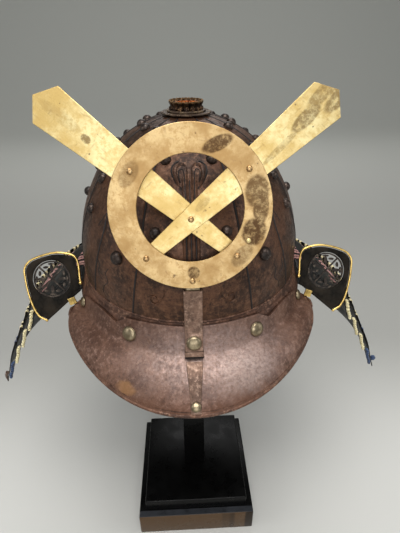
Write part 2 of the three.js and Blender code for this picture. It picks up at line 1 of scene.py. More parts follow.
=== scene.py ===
# A kabuto, the helmet of a samurai, on its plain black stand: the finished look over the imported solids.
# Metres, +Z up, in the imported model's frame. The helmet faces -Y and the stand's foot is on the floor.
from math import acos, asin, atan2, cos, hypot, pi, radians, sin, sqrt, tan

import bmesh
import bpy
from mathutils import Matrix, Vector


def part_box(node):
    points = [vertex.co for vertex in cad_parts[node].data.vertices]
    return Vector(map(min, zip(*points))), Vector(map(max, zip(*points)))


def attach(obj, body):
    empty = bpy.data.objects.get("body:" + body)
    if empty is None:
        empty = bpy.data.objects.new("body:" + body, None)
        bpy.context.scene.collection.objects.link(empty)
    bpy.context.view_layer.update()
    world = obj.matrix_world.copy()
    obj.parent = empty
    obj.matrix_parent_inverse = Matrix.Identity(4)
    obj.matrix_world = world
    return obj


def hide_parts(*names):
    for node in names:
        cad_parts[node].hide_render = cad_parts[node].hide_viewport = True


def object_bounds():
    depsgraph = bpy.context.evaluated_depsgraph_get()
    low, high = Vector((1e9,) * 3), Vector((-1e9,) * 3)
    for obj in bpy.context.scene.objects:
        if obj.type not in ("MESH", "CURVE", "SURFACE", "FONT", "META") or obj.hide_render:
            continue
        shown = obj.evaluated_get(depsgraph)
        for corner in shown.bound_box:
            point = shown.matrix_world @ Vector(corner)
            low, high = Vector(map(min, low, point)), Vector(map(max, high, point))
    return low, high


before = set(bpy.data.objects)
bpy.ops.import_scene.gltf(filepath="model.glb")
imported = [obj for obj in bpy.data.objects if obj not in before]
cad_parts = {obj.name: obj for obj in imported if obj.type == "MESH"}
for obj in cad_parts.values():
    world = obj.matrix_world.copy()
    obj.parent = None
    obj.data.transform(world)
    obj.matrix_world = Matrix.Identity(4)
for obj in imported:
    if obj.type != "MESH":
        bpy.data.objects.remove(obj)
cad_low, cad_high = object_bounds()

# ---- camera ----------------------------------------------------------------------------------------------
# The camera is a little above the crown and close in front, tilted down thirty degrees.
# It stands slightly left of the middle and turns back towards it, through a wide 27 mm lens.

mm = 0.001
camera = bpy.data.objects.new("camera", bpy.data.cameras.new("camera"))
bpy.context.scene.collection.objects.link(camera)
bpy.context.scene.camera = camera
camera.data.lens = 27.02
camera.data.sensor_width = 36.0
camera.data.clip_start = 10 * mm
camera_place = Vector((-5.45, -388.4, 618.1)) * mm
tilt_down, turn_right, lean = radians(30.16), radians(2.47), radians(0.52)
camera.matrix_world = (
    Matrix.Translation(camera_place)
    @ Matrix.Rotation(-turn_right, 4, "Z")
    @ Matrix.Rotation(pi / 2 - tilt_down, 4, "X")
    @ Matrix.Rotation(-lean, 4, "Z")
)

# ---- studio ----------------------------------------------------------------------------------------------
# A pale sheet lies under the stand and sweeps up far behind it, so that no edge shows.
# Large soft lamps hang overhead and in front, and the room itself is a dim pale grey.


def srgb(red, green, blue):
    """A colour given as 0 to 255 on screen, as the shader's own linear value."""
    parts = [part / 255 for part in (red, green, blue)]
    linear = [p / 12.92 if p <= 0.04045 else ((p + 0.055) / 1.055) ** 2.4 for p in parts]
    return (*linear, 1.0)


class Finish:
    """A material in the making: its shader, with the plain values set by name, and the nodes that feed it."""

    def __init__(self, name, colour, roughness, specular=0.5, **values):
        self.material = bpy.data.materials.new(name)
        self.material.use_nodes = True
        self.tree = self.material.node_tree
        self.shader = self.tree.nodes["Principled BSDF"]
        self.shader.inputs["Specular IOR Level"].default_value = specular
        self.feed(self.shader, base_color=colour, roughness=roughness, **values)
        self.where = self.node("ShaderNodeTexCoord").outputs["Object"]

    def node(self, kind, **settings):
        made = self.tree.nodes.new(kind)
        for setting, value in settings.items():
            setattr(made, setting, value)
        return made

    def plug(self, socket, value):
        """Links a socket to another, or gives it a plain value."""
        if isinstance(value, bpy.types.NodeSocket):
            self.tree.links.new(value, socket)
        else:
            socket.default_value = value

    def feed(self, node, **values):
        for name, value in values.items():
            self.plug(node.inputs[name.replace("_", " ").title()], value)
        return node

    def along(self, axis):
        """How far along X, Y or Z a place lies."""
        return self.feed(self.node("ShaderNodeSeparateXYZ"), vector=self.where).outputs[axis]

    def placed(self, size=(1, 1, 1), turn=(0, 0, 0), middle=(0, 0, 0)):
        """Object coordinates about a middle, along turned axes, in units of a size along each."""
        mapped = self.node("ShaderNodeMapping", vector_type="TEXTURE")
        return self.feed(mapped, vector=self.where, location=middle, rotation=turn, scale=size).outputs[0]

    def noise(self, scale, detail=4.0, roughness=0.55, at=None):
        made = self.node("ShaderNodeTexNoise")
        where = at or self.where
        return self.feed(made, vector=where, scale=scale, detail=detail, roughness=roughness).outputs["Fac"]

    def cells(self, scale, feature="F1"):
        made = self.node("ShaderNodeTexVoronoi", feature=feature)
        return self.feed(made, vector=self.where, scale=scale).outputs["Distance"]

    def step(self, value, low, high, out_low=0.0, out_high=1.0):
        """The value's rise from low to high, made a smooth one from out_low to out_high."""
        made = self.node("ShaderNodeMapRange", interpolation_type="SMOOTHSTEP")
        self.feed(made, value=value, from_min=low, from_max=high, to_min=out_low, to_max=out_high)
        return made.outputs[0]

    def combine(self, a, b, operation="MULTIPLY", clamp=True):
        made = self.node("ShaderNodeMath", operation=operation, use_clamp=clamp)
        for socket, value in zip(made.inputs, (a, b)):
            self.plug(socket, value)
        return made.outputs[0]

    def mix(self, share, a, b, strength=1.0):
        """Colour a turning to colour b by a share, up to a strength."""
        made = self.node("ShaderNodeMix", data_type="RGBA")
        share = share if strength == 1.0 else self.combine(share, strength)
        for place, value in ((0, share), (6, a), (7, b)):
            self.plug(made.inputs[place], value)
        return made.outputs[2]

    def fade(self, value, low, high, a, b, most=1.0):
        """Colour a turning to colour b, at most so far, as a value rises from low to high."""
        return self.mix(self.step(value, low, high, 0.0, most), a, b)

    def patch(self, middle, size, ragged, scale, soft, turn=0.0):
        """1 on a ragged patch round a middle, of half sizes in millimetres, and 0 away from it."""
        reach = self.node("ShaderNodeVectorMath", operation="LENGTH")
        self.plug(reach.inputs[0], self.placed([part * mm for part in size], (0, turn, 0), middle))
        frayed = self.combine(self.noise(scale, detail=8.0, roughness=0.7), ragged)
        wide = self.combine(reach.outputs["Value"], frayed, "ADD", clamp=False)
        edge = 0.85 + ragged / 2
        return self.step(wide, edge - soft, edge + soft, 1.0, 0.0)

    def paint(self, colour):
        self.feed(self.shader, base_color=colour)

    def gloss(self, roughness):
        self.feed(self.shader, roughness=roughness)

    def shine(self, metallic):
        self.feed(self.shader, metallic=metallic)

    def bump(self, height, depth, under=None):
        """Raises the surface by the height socket times a depth in metres; bumps may lie over each other."""
        made = self.feed(self.node("ShaderNodeBump"), height=height, distance=depth)
        if under:
            self.feed(made, normal=under)
        self.feed(self.shader, normal=made.outputs[0])
        return made.outputs[0]


backdrop = Finish("pale_backdrop", srgb(196, 196, 190), 0.9)
way_back = backdrop.along("Y")
# Painted shade and light: the sheet's colour darkens a little way behind the stand and pales again up the far
# wall.
near_painted_shade = backdrop.fade(way_back, -0.02, 0.36, srgb(195, 195, 191), srgb(156, 156, 152))
backdrop.paint(backdrop.fade(way_back, 0.8, 2.3, near_painted_shade, srgb(205, 206, 200)))

sweep_size, sweep_start, sweep_radius = 9.0, 2.6, 2.0
studio = bmesh.new()
bmesh.ops.create_grid(studio, x_segments=24, y_segments=120, size=sweep_size)
for corner in studio.verts:
    run = corner.co.y - sweep_start
    if run > 0:
        turn = min(run / sweep_radius, pi / 2)
        climb = max(0.0, run - sweep_radius * pi / 2)
        corner.co.y = sweep_start + sweep_radius * sin(turn)
        corner.co.z = sweep_radius * (1 - cos(turn)) + climb
studio_mesh = bpy.data.meshes.new("floor")
studio.to_mesh(studio_mesh)
studio_mesh.shade_smooth()
floor = bpy.data.objects.new("floor", studio_mesh)
floor.data.materials.append(backdrop.material)
bpy.context.scene.collection.objects.link(floor)

helmet_middle = (cad_low + cad_high) / 2


def soft_lamp(name, place, width, height, power, warmth=(1.0, 1.0, 1.0)):
    lamp = bpy.data.lights.new(name, "AREA")
    lamp.shape = "RECTANGLE"
    lamp.size, lamp.size_y = width, height
    lamp.energy = power
    lamp.color = warmth
    hung = bpy.data.objects.new(name, lamp)
    aim = (helmet_middle - Vector(place)).to_track_quat("-Z", "Y").to_matrix().to_4x4()
    hung.matrix_world = Matrix.Translation(place) @ aim
    hung.visible_camera = False
    bpy.context.scene.collection.objects.link(hung)


soft_lamp("overhead_lamp", (0.0, -0.65, 2.1), 1.4, 1.1, 25, (1.0, 0.98, 0.95))
soft_lamp("front_lamp", (0.0, -2.2, 0.95), 1.9, 1.3, 21)
soft_lamp("right_lamp", (1.9, -0.5, 1.1), 0.9, 1.4, 9)
soft_lamp("left_lamp", (-1.9, -0.5, 1.1), 0.9, 1.4, 9)
soft_lamp("back_lamp", (0.2, 1.6, 1.7), 1.4, 0.8, 9)
soft_lamp("backdrop_lamp", (0.0, -0.6, 3.6), 3.0, 3.0, 40)

room = bpy.data.worlds.new("room")
room.use_nodes = True
sky = room.node_tree.nodes["Background"].inputs
sky["Color"].default_value, sky["Strength"].default_value = srgb(176, 178, 178), 0.42
bpy.context.scene.world = room
bpy.context.scene.view_settings.view_transform = "Standard"

# ---- stand -----------------------------------------------------------------------------------------------
# Two square steps of black painted wood with a square post glued upright in their middle.
# The paint is satin, grey-blue on the front ledge and brown in streaks down the foot's front face.


def piece(name, shape, finish, slot, *nodes, crease=40.0):
    """Makes the finished object from a bmesh, rides it on the helmet and lets it stand for its CAD nodes."""
    mesh = bpy.data.meshes.new(name)
    shape.to_mesh(mesh)
    shape.free()
    mesh.shade_smooth()
    mesh.set_sharp_from_angle(angle=radians(crease))
    mesh.materials.append(finish.material)
    made = bpy.data.objects.new(name, mesh)
    bpy.context.scene.collection.objects.link(made)
    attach(made, "root")
    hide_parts(*nodes)
    return made


def rounded_block(low, high, round_over):
    shape = bmesh.new()
    bmesh.ops.create_cube(shape, size=1.0)
    bmesh.ops.scale(shape, vec=high - low, verts=shape.verts)
    bmesh.ops.translate(shape, vec=(low + high) / 2, verts=shape.verts)
    bmesh.ops.bevel(
        shape, geom=shape.edges[:], offset=round_over, affect="EDGES", segments=3, profile=0.5, material=-1
    )
    return shape


ledge_back, foot_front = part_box("stand_upper_step")[0].y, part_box("stand_lower_step")[0].y
black_paint = Finish("black_paint", srgb(5, 5, 5), 0.3, specular=0.14)
dust = black_paint.noise(60, detail=6.0)
scuffs = black_paint.noise(300, detail=5.0)
from_front = black_paint.along("Y")
on_ledge = black_paint.step(from_front, ledge_back - 0.6 * mm, ledge_back - 0.3 * mm, 1.0, 0.0)
on_front = black_paint.step(from_front, foot_front + 0.3 * mm, foot_front + 1.5 * mm, 1.0, 0.0)
drips = black_paint.noise(30, detail=1.0, at=black_paint.placed(size=(1, 1, 50)))
# The foot's front face is brown in streaks, and the lower step's front ledge is grey-blue, mottled by noise.
front_streaks = black_paint.fade(drips, 0.62, 0.66, srgb(80, 61, 42), srgb(14, 12, 11), 0.8)
grey_ledge = black_paint.combine(on_ledge, black_paint.step(dust, 0.3, 0.62, 0.55, 1.0))
tone = black_paint.fade(scuffs, 0.66, 0.76, srgb(4, 4, 4), srgb(24, 22, 20), 0.5)
tone = black_paint.mix(grey_ledge, tone, srgb(44, 46, 50))
black_paint.paint(black_paint.mix(on_front, tone, front_streaks))
black_paint.gloss(black_paint.step(dust, 0.3, 0.7, 0.24, 0.38))
black_paint.bump(black_paint.noise(420, detail=3.0), 0.04 * mm)

for node, edge_round in (("lower_step", 1.8 * mm), ("upper_step", 1.8 * mm), ("post", 1.1 * mm)):
    block = rounded_block(*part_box(f"stand_{node}"), edge_round)
    piece(f"black_{node}", block, black_paint, "stand_black", f"stand_{node}")

# ---- head pad --------------------------------------------------------------------------------------------
# A turned block padded with black felt sits on the post, inside the bowl, and carries the helmet.
# The felt is gathered over the edge in shallow pleats and tacked underneath.


def weld(shape):
    """Joins corners that lie in one place."""
    bmesh.ops.remove_doubles(shape, verts=shape.verts, dist=0.001 * mm)


def turned(profile, sides):
    """A shape turned about the upright axis, from (radius, height) points that run along its skin."""
    shape = bmesh.new()
    dots = [shape.verts.new((r, 0, z)) for r, z in profile]
    lines = [shape.edges.new(pair) for pair in zip(dots, dots[1:])]
    bmesh.ops.spin(
        shape, geom=dots + lines, cent=(0, 0, 0), axis=(0, 0, 1), angle=2 * pi, steps=sides, use_merge=True
    )
    weld(shape)
    bmesh.ops.recalc_face_normals(shape, faces=shape.faces)
    return shape


felt = Finish("black_felt", srgb(24, 24, 27), 0.95, sheen_weight=0.5, sheen_roughness=0.6)
fibres = felt.noise(900, detail=4.0, roughness=0.7)
felt.paint(felt.fade(fibres, 0.35, 0.7, srgb(17, 17, 19), srgb(40, 40, 44)))
felt.bump(fibres, 0.35 * mm)

pad_low, pad_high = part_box("head_pad")
pad_radius, pleats = pad_high.x - 1.5 * mm, 18
pad_tall = pad_high.z - pad_low.z
pad_skin = [(0, pad_low.z), (pad_radius * 0.5, pad_low.z), (pad_radius * 0.93, pad_low.z)]
for k in range(15):
    swing = k / 14 * pi / 2
    rise = 0.1 + 0.9 * sin(swing) ** 0.9
    pad_skin.append((pad_radius * cos(swing) ** 0.62, pad_low.z + pad_tall * rise))
head_pad = turned(pad_skin, 96)
for spot in head_pad.verts:
    reach = hypot(spot.co.x, spot.co.y) / pad_radius
    pleat = sin(pleats * atan2(spot.co.y, spot.co.x)) * max(0.0, reach - 0.55) * 1.1 * mm
    spot.co.xy *= 1 - pleat / pad_radius
pad_piece = piece("felt_pad", head_pad, felt, "pad_felt", "head_pad", crease=60.0)

# ---- bowl ------------------------------------------------------------------------------------------------
# Twelve forged iron plates make the bowl, each lying over the next one back. Big round-headed rivets join
# their edges and four larger ones stand low at the quarters; all the heads are one piece. The front plate
# carries a raised ornament, and chased lines run round it.

half_width, front_depth, back_depth = 110 * mm, 124.5 * mm, 131 * mm
bowl_rim, dome_start, dome_rise = 411 * mm, 426 * mm, 130.5 * mm
plate_thick = 1.6 * mm
tuck, tuck_gap, tuck_slope = 4 * mm, 0.6 * mm, 1.6 * mm
seams = [27.5, 54, 79, 104, 128.5, 152.5]
seam_lean, lean_height = radians(11), 64 * mm
dome_top = 82.8
rivet_radius, rivet_height, rivet_rows, rivet_ahead = 4.7 * mm, 4.4 * mm, (27, 40, 54, 68), radians(6)
quarter_radius, quarter_height, quarter_level, quarter_angles = 6 * mm, 5 * mm, 460 * mm, (35, 145)


def bowl_reach(z):
    """How far the bowl's skin is from the middle at a height, as a share of its width at the rim."""
    return sqrt(1 - ((z - dome_start) / dome_rise) ** 2) if z > dome_start else 1.0


def bowl_normal(angle, z):
    reach = bowl_reach(z)
    depth = front_depth if cos(angle) > 0 else back_depth
    rise = max(0.0, z - dome_start) / dome_rise**2
    return Vector((reach * sin(angle) / half_width, -reach * cos(angle) / depth, rise)).normalized()


def bowl_point(angle, z, offset=0.0):
    """A point of the bowl's skin. The angle runs round from the front towards +X."""
    reach = bowl_reach(z)
    depth = front_depth if cos(angle) > 0 else back_depth
    skin = Vector((half_width * reach * sin(angle), -depth * reach * cos(angle), z))
    return skin + bowl_normal(angle, z) * offset


def dome_height(degrees):
    return dome_start + dome_rise * sin(radians(degrees))


def seam_angle(start, z):
    """A seam starts at an angle on the rim and leans forward as it climbs."""
    climbed = min(1.0, (z - bowl_rim) / lean_height)
    return radians(start) - seam_lean * sin(radians(start)) * climbed


def placed_grid(columns, rows, place):
    """A grid whose corners go where place(u, v) says, with u and v from 0 to 1. It faces along u x v."""
    shape = bmesh.new()
    bmesh.ops.create_grid(shape, x_segments=columns, y_segments=rows, size=0.5)
    for corner in shape.verts:
        corner.co = place(corner.co.x + 0.5, corner.co.y + 0.5)
    return shape


def thicken(shape, thickness):
    """Gives a skin its wall, on the inner side."""
    bmesh.ops.solidify(shape, geom=shape.faces[:], thickness=thickness)


def round_edges(shape, width, angle=50.0):
    sharp = [edge for edge in shape.edges if edge.is_manifold and edge.calc_face_angle() > radians(angle)]
    bmesh.ops.bevel(
        shape, geom=sharp, offset=width, affect="EDGES", segments=2, profile=0.5, material=-1,
        clamp_overlap=True,
    )


def stood_on(place, normal):
    """The matrix that stands a shape made along +Z on a place, along a normal."""
    return Matrix.Translation(place) @ normal.to_track_quat("Z", "Y").to_matrix().to_4x4()


def add_rivet(shape, place, normal, radius, height, sides=20):
    """Adds a round rivet head that grows out of the surface."""
    size = Matrix.Diagonal((radius, radius, height, 1.0))
    bmesh.ops.create_uvsphere(
        shape, u_segments=sides, v_segments=sides // 2, radius=1.0, matrix=stood_on(place, normal) @ size
    )


def smooth_path(points, steps=6):
    """Points on a smooth curve through the given ones."""
    ends = [points[0] * 2 - points[1], *points, points[-1] * 2 - points[-2]]
    path = []
    for a, b, c, d in zip(ends, ends[1:], ends[2:], ends[3:]):
        for k in range(steps):
            t = k / steps
            bend, twist = 2 * a - 5 * b + 4 * c - d, 3 * b - a - 3 * c + d
            path.append(0.5 * (2 * b + (c - a) * t + bend * t * t + twist * t**3))
    return [*path, points[-1]]


def add_sweep(shape, path, section, facing=Vector((0, 0, 1)), swell=None, closed=False):
    """Sweeps a section, given as (aside, outward) points, along a path, and caps the ends of an open one.
    facing is the outward direction, or lists one for each point, and swell lists the section's sizes.
    Gives the shape back, so that a piece that is one sweep can be made on one line."""
    last = len(path) - 1
    rings = []
    for k, place in enumerate(path):
        before, after = (k - 1, (k + 1) % len(path)) if closed else (max(k - 1, 0), min(k + 1, last))
        along = (path[after] - path[before]).normalized()
        outward = facing[k] if isinstance(facing, list) else facing
        outward = (outward - along * outward.dot(along)).normalized()
        aside = outward.cross(along)
        size = swell[k] if swell else 1.0
        corners = [shape.verts.new(place + (aside * a + outward * b) * size) for a, b in section]
        rings.append([shape.edges.new((c, corners[(i + 1) % len(corners)])) for i, c in enumerate(corners)])
    older = set(shape.faces)
    for lower, upper in zip(rings, rings[1:] + rings[:1] if closed else rings[1:]):
        bmesh.ops.bridge_loops(shape, edges=lower + upper)
    for end in () if closed else (rings[0], rings[-1]):
        bmesh.ops.contextual_create(shape, geom=end)
    bmesh.ops.recalc_face_normals(shape, faces=[face for face in shape.faces if face not in older])
    return shape


def round_section(radius, sides=8, flatness=1.0):
    turns = [2 * pi * k / sides for k in range(sides)]
    return [(radius * cos(turn), radius * flatness * sin(turn)) for turn in turns]


def russet_iron(name, tones, grime=0.5, metallic=0.5, roughness=0.5):
    """Iron with a baked-on russet skin: cloudy deep and common tones, rubbed places, fine pits and grime."""
    deep, skin, worn = (srgb(*tone) for tone in tones)
    made = Finish(name, skin, roughness, metallic=metallic)
    clouds = made.noise(34, detail=8.0, roughness=0.68)
    mottles = made.noise(260, detail=6.0, roughness=0.7)
    grains = made.noise(620, detail=3.0, roughness=0.65)
    tone = made.fade(clouds, 0.4, 0.6, deep, skin)
    tone = made.fade(mottles, 0.5, 0.66, tone, worn, 0.75)
    tone = made.mix(made.step(mottles, 0.3, 0.46, grime, 0.0), tone, srgb(24, 15, 12))
    tone = made.mix(made.step(grains, 0.25, 0.5, grime, 0.0), tone, srgb(20, 13, 11))
    made.paint(tone)
    made.gloss(made.step(mottles, 0.35, 0.65, roughness + 0.14, roughness - 0.08))
    hammered = made.bump(made.noise(70, detail=3.0), 0.5 * mm)
    made.bump(mottles, 0.35 * mm, under=hammered)
    made.tone = tone
    return made


bowl_iron = russet_iron("bowl_iron", ((52, 32, 20), (90, 59, 40), (110, 77, 55)), 0.8, roughness=0.42)
rivet_iron = russet_iron("rivet_iron", ((30, 22, 18), (54, 41, 34), (96, 80, 70)), 0.7, roughness=0.34)

bowl_rows = [bowl_rim + (dome_start - bowl_rim) * k / 4 for k in range(4)]
bowl_rows += [dome_height(dome_top * k / 40) for k in range(41)]


def plate_columns(start, end, count, tucked_start, tucked_end):
    """A plate's upright lines as (seam, shift along the skin, offset). A tucked edge goes under the next."""
    under = -plate_thick - tuck_gap
    lines = [(start, -tuck, under), (start, tuck_gap, under)] if tucked_start else []
    for k in range(count + 1):
        shift = tuck_slope if k == 0 and tucked_start else -tuck_slope if k == count and tucked_end else 0.0
        lines.append((start + (end - start) * k / count, shift, 0.0))
    return lines + ([(end, -tuck_gap, under), (end, tuck, under)] if tucked_end else [])


def bowl_plate(lines):
    def place(u, v):
        start, shift, offset = lines[round(u * (len(lines) - 1))]
        z = bowl_rows[round(v * (len(bowl_rows) - 1))]
        angle = seam_angle(start, z) + shift / (half_width * bowl_reach(z))
        return bowl_point(angle, z, offset)

    shape = placed_grid(len(lines) - 1, len(bowl_rows) - 1, place)
    thicken(shape, plate_thick)
    round_edges(shape, 0.35 * mm)
    return shape


bowl_rivets = bmesh.new()
for side in (-1, 1):
    for seam in seams:
        for row in rivet_rows:
            z = dome_height(row)
            angle = seam_angle(side * seam, z) - side * rivet_ahead
            add_rivet(bowl_rivets, bowl_point(angle, z), bowl_normal(angle, z), rivet_radius, rivet_height)
    for degrees in quarter_angles:
        angle = radians(side * degrees)
        place, normal = bowl_point(angle, quarter_level), bowl_normal(angle, quarter_level)
        add_rivet(bowl_rivets, place, normal, quarter_radius, quarter_height, sides=24)
piece("bowl_rivets", bowl_rivets, rivet_iron, "bowl_iron")

front_plate = bowl_plate(plate_columns(-seams[0], seams[0], 24, False, False))


def on_front(x, z, offset=0.0):
    """A point of the front plate, by its distance to the right and its height."""
    return bowl_point(asin(x / (half_width * bowl_reach(z))), z, offset)


def add_raised_line(shape, spots, width, height):
    """A rounded ridge on the front plate through spots given as (right, height) in millimetres."""
    path = smooth_path([on_front(x * mm, z * mm) for x, z in spots])
    last = len(path) - 1
    outward = [Vector((spot.x, spot.y, 0.2 * (spot.z - dome_start))).normalized() for spot in path]
    narrowing = [0.35 + 0.65 * min(1.0, 5 * k / last, 5 * (last - k) / last) for k in range(last + 1)]
    add_sweep(shape, path, round_section(width / 2, 8, 2 * height / width), outward, narrowing)


def upright(x, top):
    """Spots straight up the front plate, close enough together to stay on its curve."""
    return [(x, z) for z in range(424, top, 8)]


inner_curl = upright(3.7, 520)
inner_curl += [(3.8, 521), (4.4, 525), (5.9, 526.8), (8.2, 525.2), (8.3, 522), (7.2, 518.6)]
outer_hook = [(6.2, 514.6), (10.4, 518.6), (13.6, 523.6), (13.4, 527.4), (11.2, 529.8), (8, 531.2)]
brow_curl = [(23, 442), (23.5, 436), (27, 430.5), (31, 427.5), (34.6, 430), (33.8, 434.4)]
brow_curl += [(30, 434.6), (29.2, 431.6)]
leaf = [(7.5, 515), (9.6, 519.5), (11.2, 524), (9.8, 528), (6, 529.6), (2.4, 528.4)]
for side in (-1, 1):
    for spots, width, height in (
        (upright(1.9, 530), 2.7, 1.3), (upright(5.5, 526), 2.7, 1.3), (leaf, 3.4, 1.2), (brow_curl, 1.5, 1.0)
    ):
        add_raised_line(front_plate, [(side * x, z) for x, z in spots], width * mm, height * mm)
piece("front_plate", front_plate, bowl_iron, "bowl_iron", "bowl_plate_front")

hands = (("left", -1), ("right", 1))
for name, side in hands:
    for k, (start, end) in enumerate(zip(seams, seams[1:]), 1):
        ends = (start, end) if side > 0 else (-end, -start)
        shape = bowl_plate(plate_columns(*ends, 12, side > 0, side < 0))
        piece(f"side_plate_{name}_{k}", shape, bowl_iron, "bowl_iron", f"bowl_plate_{name}_{k}")

back_plate = bowl_plate(plate_columns(seams[-1], 360 - seams[-1], 24, True, True))
piece("back_plate", back_plate, bowl_iron, "bowl_iron", "bowl_plate_back")

# The chased lines are dark with old lacquer, and the first side plates carry a wavy stroke with short dashes
# above it.
# The dark strips along the seams, in the gaps between the ornament's ribs and beside its curls are painted
# shadow.
chased_and_shadow_black = Finish("chased_and_shadow_black", srgb(22, 16, 15), 0.6, metallic=0.2)
chased_and_shadow_black.bump(chased_and_shadow_black.noise(500), 0.1 * mm)
frontward = Vector((0, -1, 0))
chased_strokes = [
    [(40.5, 447), (42.5, 441), (41.2, 434), (44.5, 427), (46, 419)],
    [(49.5, 452), (47, 446), (48.2, 439), (45.2, 433)],
    [(38, 505), (41.5, 497), (46.5, 489), (50.5, 478)],
    [(34, 512), (36.5, 507), (36.2, 501)],
]
chased_and_shadow_lines = bmesh.new()
for side in (-1, 1):
    drawn = []
    for stroke in chased_strokes:
        drawn.append((0.38, [bowl_point(radians(side * a), z * mm, 0.1 * mm) for a, z in stroke]))
    # Painted shadow lines lie in the gaps between the ornament's ribs and beside its curls.
    for wide, shade_line in ((0.45, inner_curl), (0.75, outer_hook), (0.3, brow_curl)):
        drawn.append((wide, [on_front(side * x * mm, z * mm, 0.15 * mm) for x, z in shade_line]))
    # Strips of painted shadow lie along the seams.
    for seam in seams:
        edge = [(seam_angle(side * seam, z) + radians(side * 0.3), z) for z in bowl_rows[::3]]
        drawn.append((0.8, [bowl_point(angle, z, 0.15 * mm) for angle, z in edge]))
    for wide, spots in drawn:
        path = smooth_path(spots, 4)
        outward = [Vector((spot.x, spot.y, 0)).normalized() for spot in path]
        add_sweep(chased_and_shadow_lines, path, round_section(wide * mm, 6, 0.6), outward)
# A painted shadow line runs down between the two middle ribs.
middle_shade_line = smooth_path([on_front(0, z * mm, 0.15 * mm) for _, z in upright(0, 524)], 6)
add_sweep(chased_and_shadow_lines, middle_shade_line, round_section(0.45 * mm, 6, 0.6), frontward)
piece("chased_and_shadow_lines", chased_and_shadow_lines, chased_and_shadow_black, "bowl_iron")

# ---- rim wire --------------------------------------------------------------------------------------------
# A thin iron wire lies round the foot of the bowl and covers the plates' lower edges. It is held between
# them and the band below, and shows as a bright russet line.

russet_edge = russet_iron("russet_edge", ((66, 44, 34), (106, 74, 58), (142, 108, 88)))
wire_radius = 0.9 * mm
wire_turns = [2 * pi * k / 120 for k in range(120)]
wire_path = [bowl_point(turn, bowl_rim + wire_radius, 0.2 * mm) for turn in wire_turns]
wire_facing = [bowl_normal(turn, bowl_rim) for turn in wire_turns]
rim_wire = add_sweep(bmesh.new(), wire_path, round_section(wire_radius, 8), wire_facing, closed=True)
piece("rim_wire", rim_wire, russet_edge, "russet_iron")

# ---- tehen -----------------------------------------------------------------------------------------------
# The hole in the crown is dressed with a lobed iron plate, a plain washer and a crimped ring of petals with
# two rows of beads, all held by a copper sleeve whose edge is rolled over from inside.

tehen_iron = russet_iron("tehen_iron", ((52, 40, 32), (92, 74, 60), (150, 128, 98)))
petal_metal = russet_iron("petal_metal", ((34, 22, 15), (66, 46, 32), (126, 96, 66)), 0.6, 0.8, 0.4)

plate_low, plate_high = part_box("tehen_plate")
washer_low, washer_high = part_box("tehen_washer")
petals_low, petals_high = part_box("tehen_petal_ring")
sleeve_low, sleeve_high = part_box("tehen_sleeve")
hole_radius = sleeve_high.x + 0.3 * mm
lobes, lobe_deep, petal_count = 12, 1.2 * mm, 16


def face_towards(shape, direction):
    """Turns a skin over if it looks away from a direction."""
    if shape.faces[:][0].normal.dot(direction) < 0:
        bmesh.ops.reverse_faces(shape, faces=shape.faces[:])


def ring_plate(low, high, outline, inner, sides):
    """A flat ring between a round hole and an outline, which is a radius or gives it at an angle."""
    shape = bmesh.new()
    hoops = []
    for radius in (inner, outline):
        hoop = bmesh.ops.create_circle(shape, segments=sides, radius=1.0)["verts"]
        for spot in hoop:
            reach = radius(atan2(spot.co.y, spot.co.x)) if callable(radius) else radius
            spot.co = Vector((spot.co.x * reach, spot.co.y * reach, high))
        hoops += {edge for spot in hoop for edge in spot.link_edges}
    bmesh.ops.bridge_loops(shape, edges=hoops)
    bmesh.ops.recalc_face_normals(shape, faces=shape.faces)
    face_towards(shape, Vector((0, 0, 1)))
    thicken(shape, high - low)
    return shape


def lobed_edge(angle):
    return plate_high.x - lobe_deep + lobe_deep * abs(cos(lobes / 2 * angle)) ** 0.6


lobed = ring_plate(plate_low.z, plate_high.z, lobed_edge, hole_radius, 144)
round_edges(lobed, 0.35 * mm)
piece("lobed_plate", lobed, tehen_iron, "crown_copper", "tehen_plate")

washer = ring_plate(washer_low.z, washer_high.z, washer_high.x, hole_radius, 72)
round_edges(washer, 0.5 * mm)
piece("plain_washer", washer, tehen_iron, "crown_copper", "tehen_washer")

lip_low, lip_high = petals_high.z - 2.2 * mm, petals_high.z - 0.6 * mm
# The petals are paler towards their top edge.
pale_lip = petal_metal.step(petal_metal.along("Z"), lip_low, lip_high, 0.0, 0.35)
petal_metal.paint(petal_metal.mix(pale_lip, petal_metal.tone, srgb(160, 126, 84)))
petal_tall = petals_high.z - petals_low.z
petal_base, petal_flare = 14.1 * mm, petals_high.x - 0.1 * mm


def petal_skin(u, v):
    """The crimped ring: it swells at its foot, draws in at its waist, and each petal curls out at the top."""
    turn = 2 * pi * u
    petal = abs(cos(petal_count / 2 * turn)) ** 0.6
    flute = (petal - 0.7) * 2.8 * mm * (0.5 + 0.5 * abs(2 * v - 0.8))
    waist = petal_base + (petal_flare - petal_base) * abs(2 * v - 0.75) ** 1.5
    top = petal_tall * (1 - 0.22 * (1 - petal) * v)
    reach = min(waist + flute, petal_flare)
    return Vector((reach * sin(turn), -reach * cos(turn), petals_low.z + top * v))


petals = placed_grid(petal_count * 10, 12, petal_skin)
weld(petals)
thicken(petals, 0.6 * mm)
for level, beads, bead, wire in (
    (0.14, 2 * petal_count, 1.3 * mm, 14.6 * mm), (0.9, petal_count, 1.0 * mm, 14.8 * mm)
):
    for k in range(beads):
        turn = 2 * pi * (k + 0.5) / beads
        place = Matrix.Translation((wire * cos(turn), wire * sin(turn), petals_low.z + petal_tall * level))
        bmesh.ops.create_uvsphere(petals, u_segments=8, v_segments=6, radius=bead, matrix=place)
piece("petal_ring", petals, petal_metal, "crown_copper", "tehen_petal_ring")

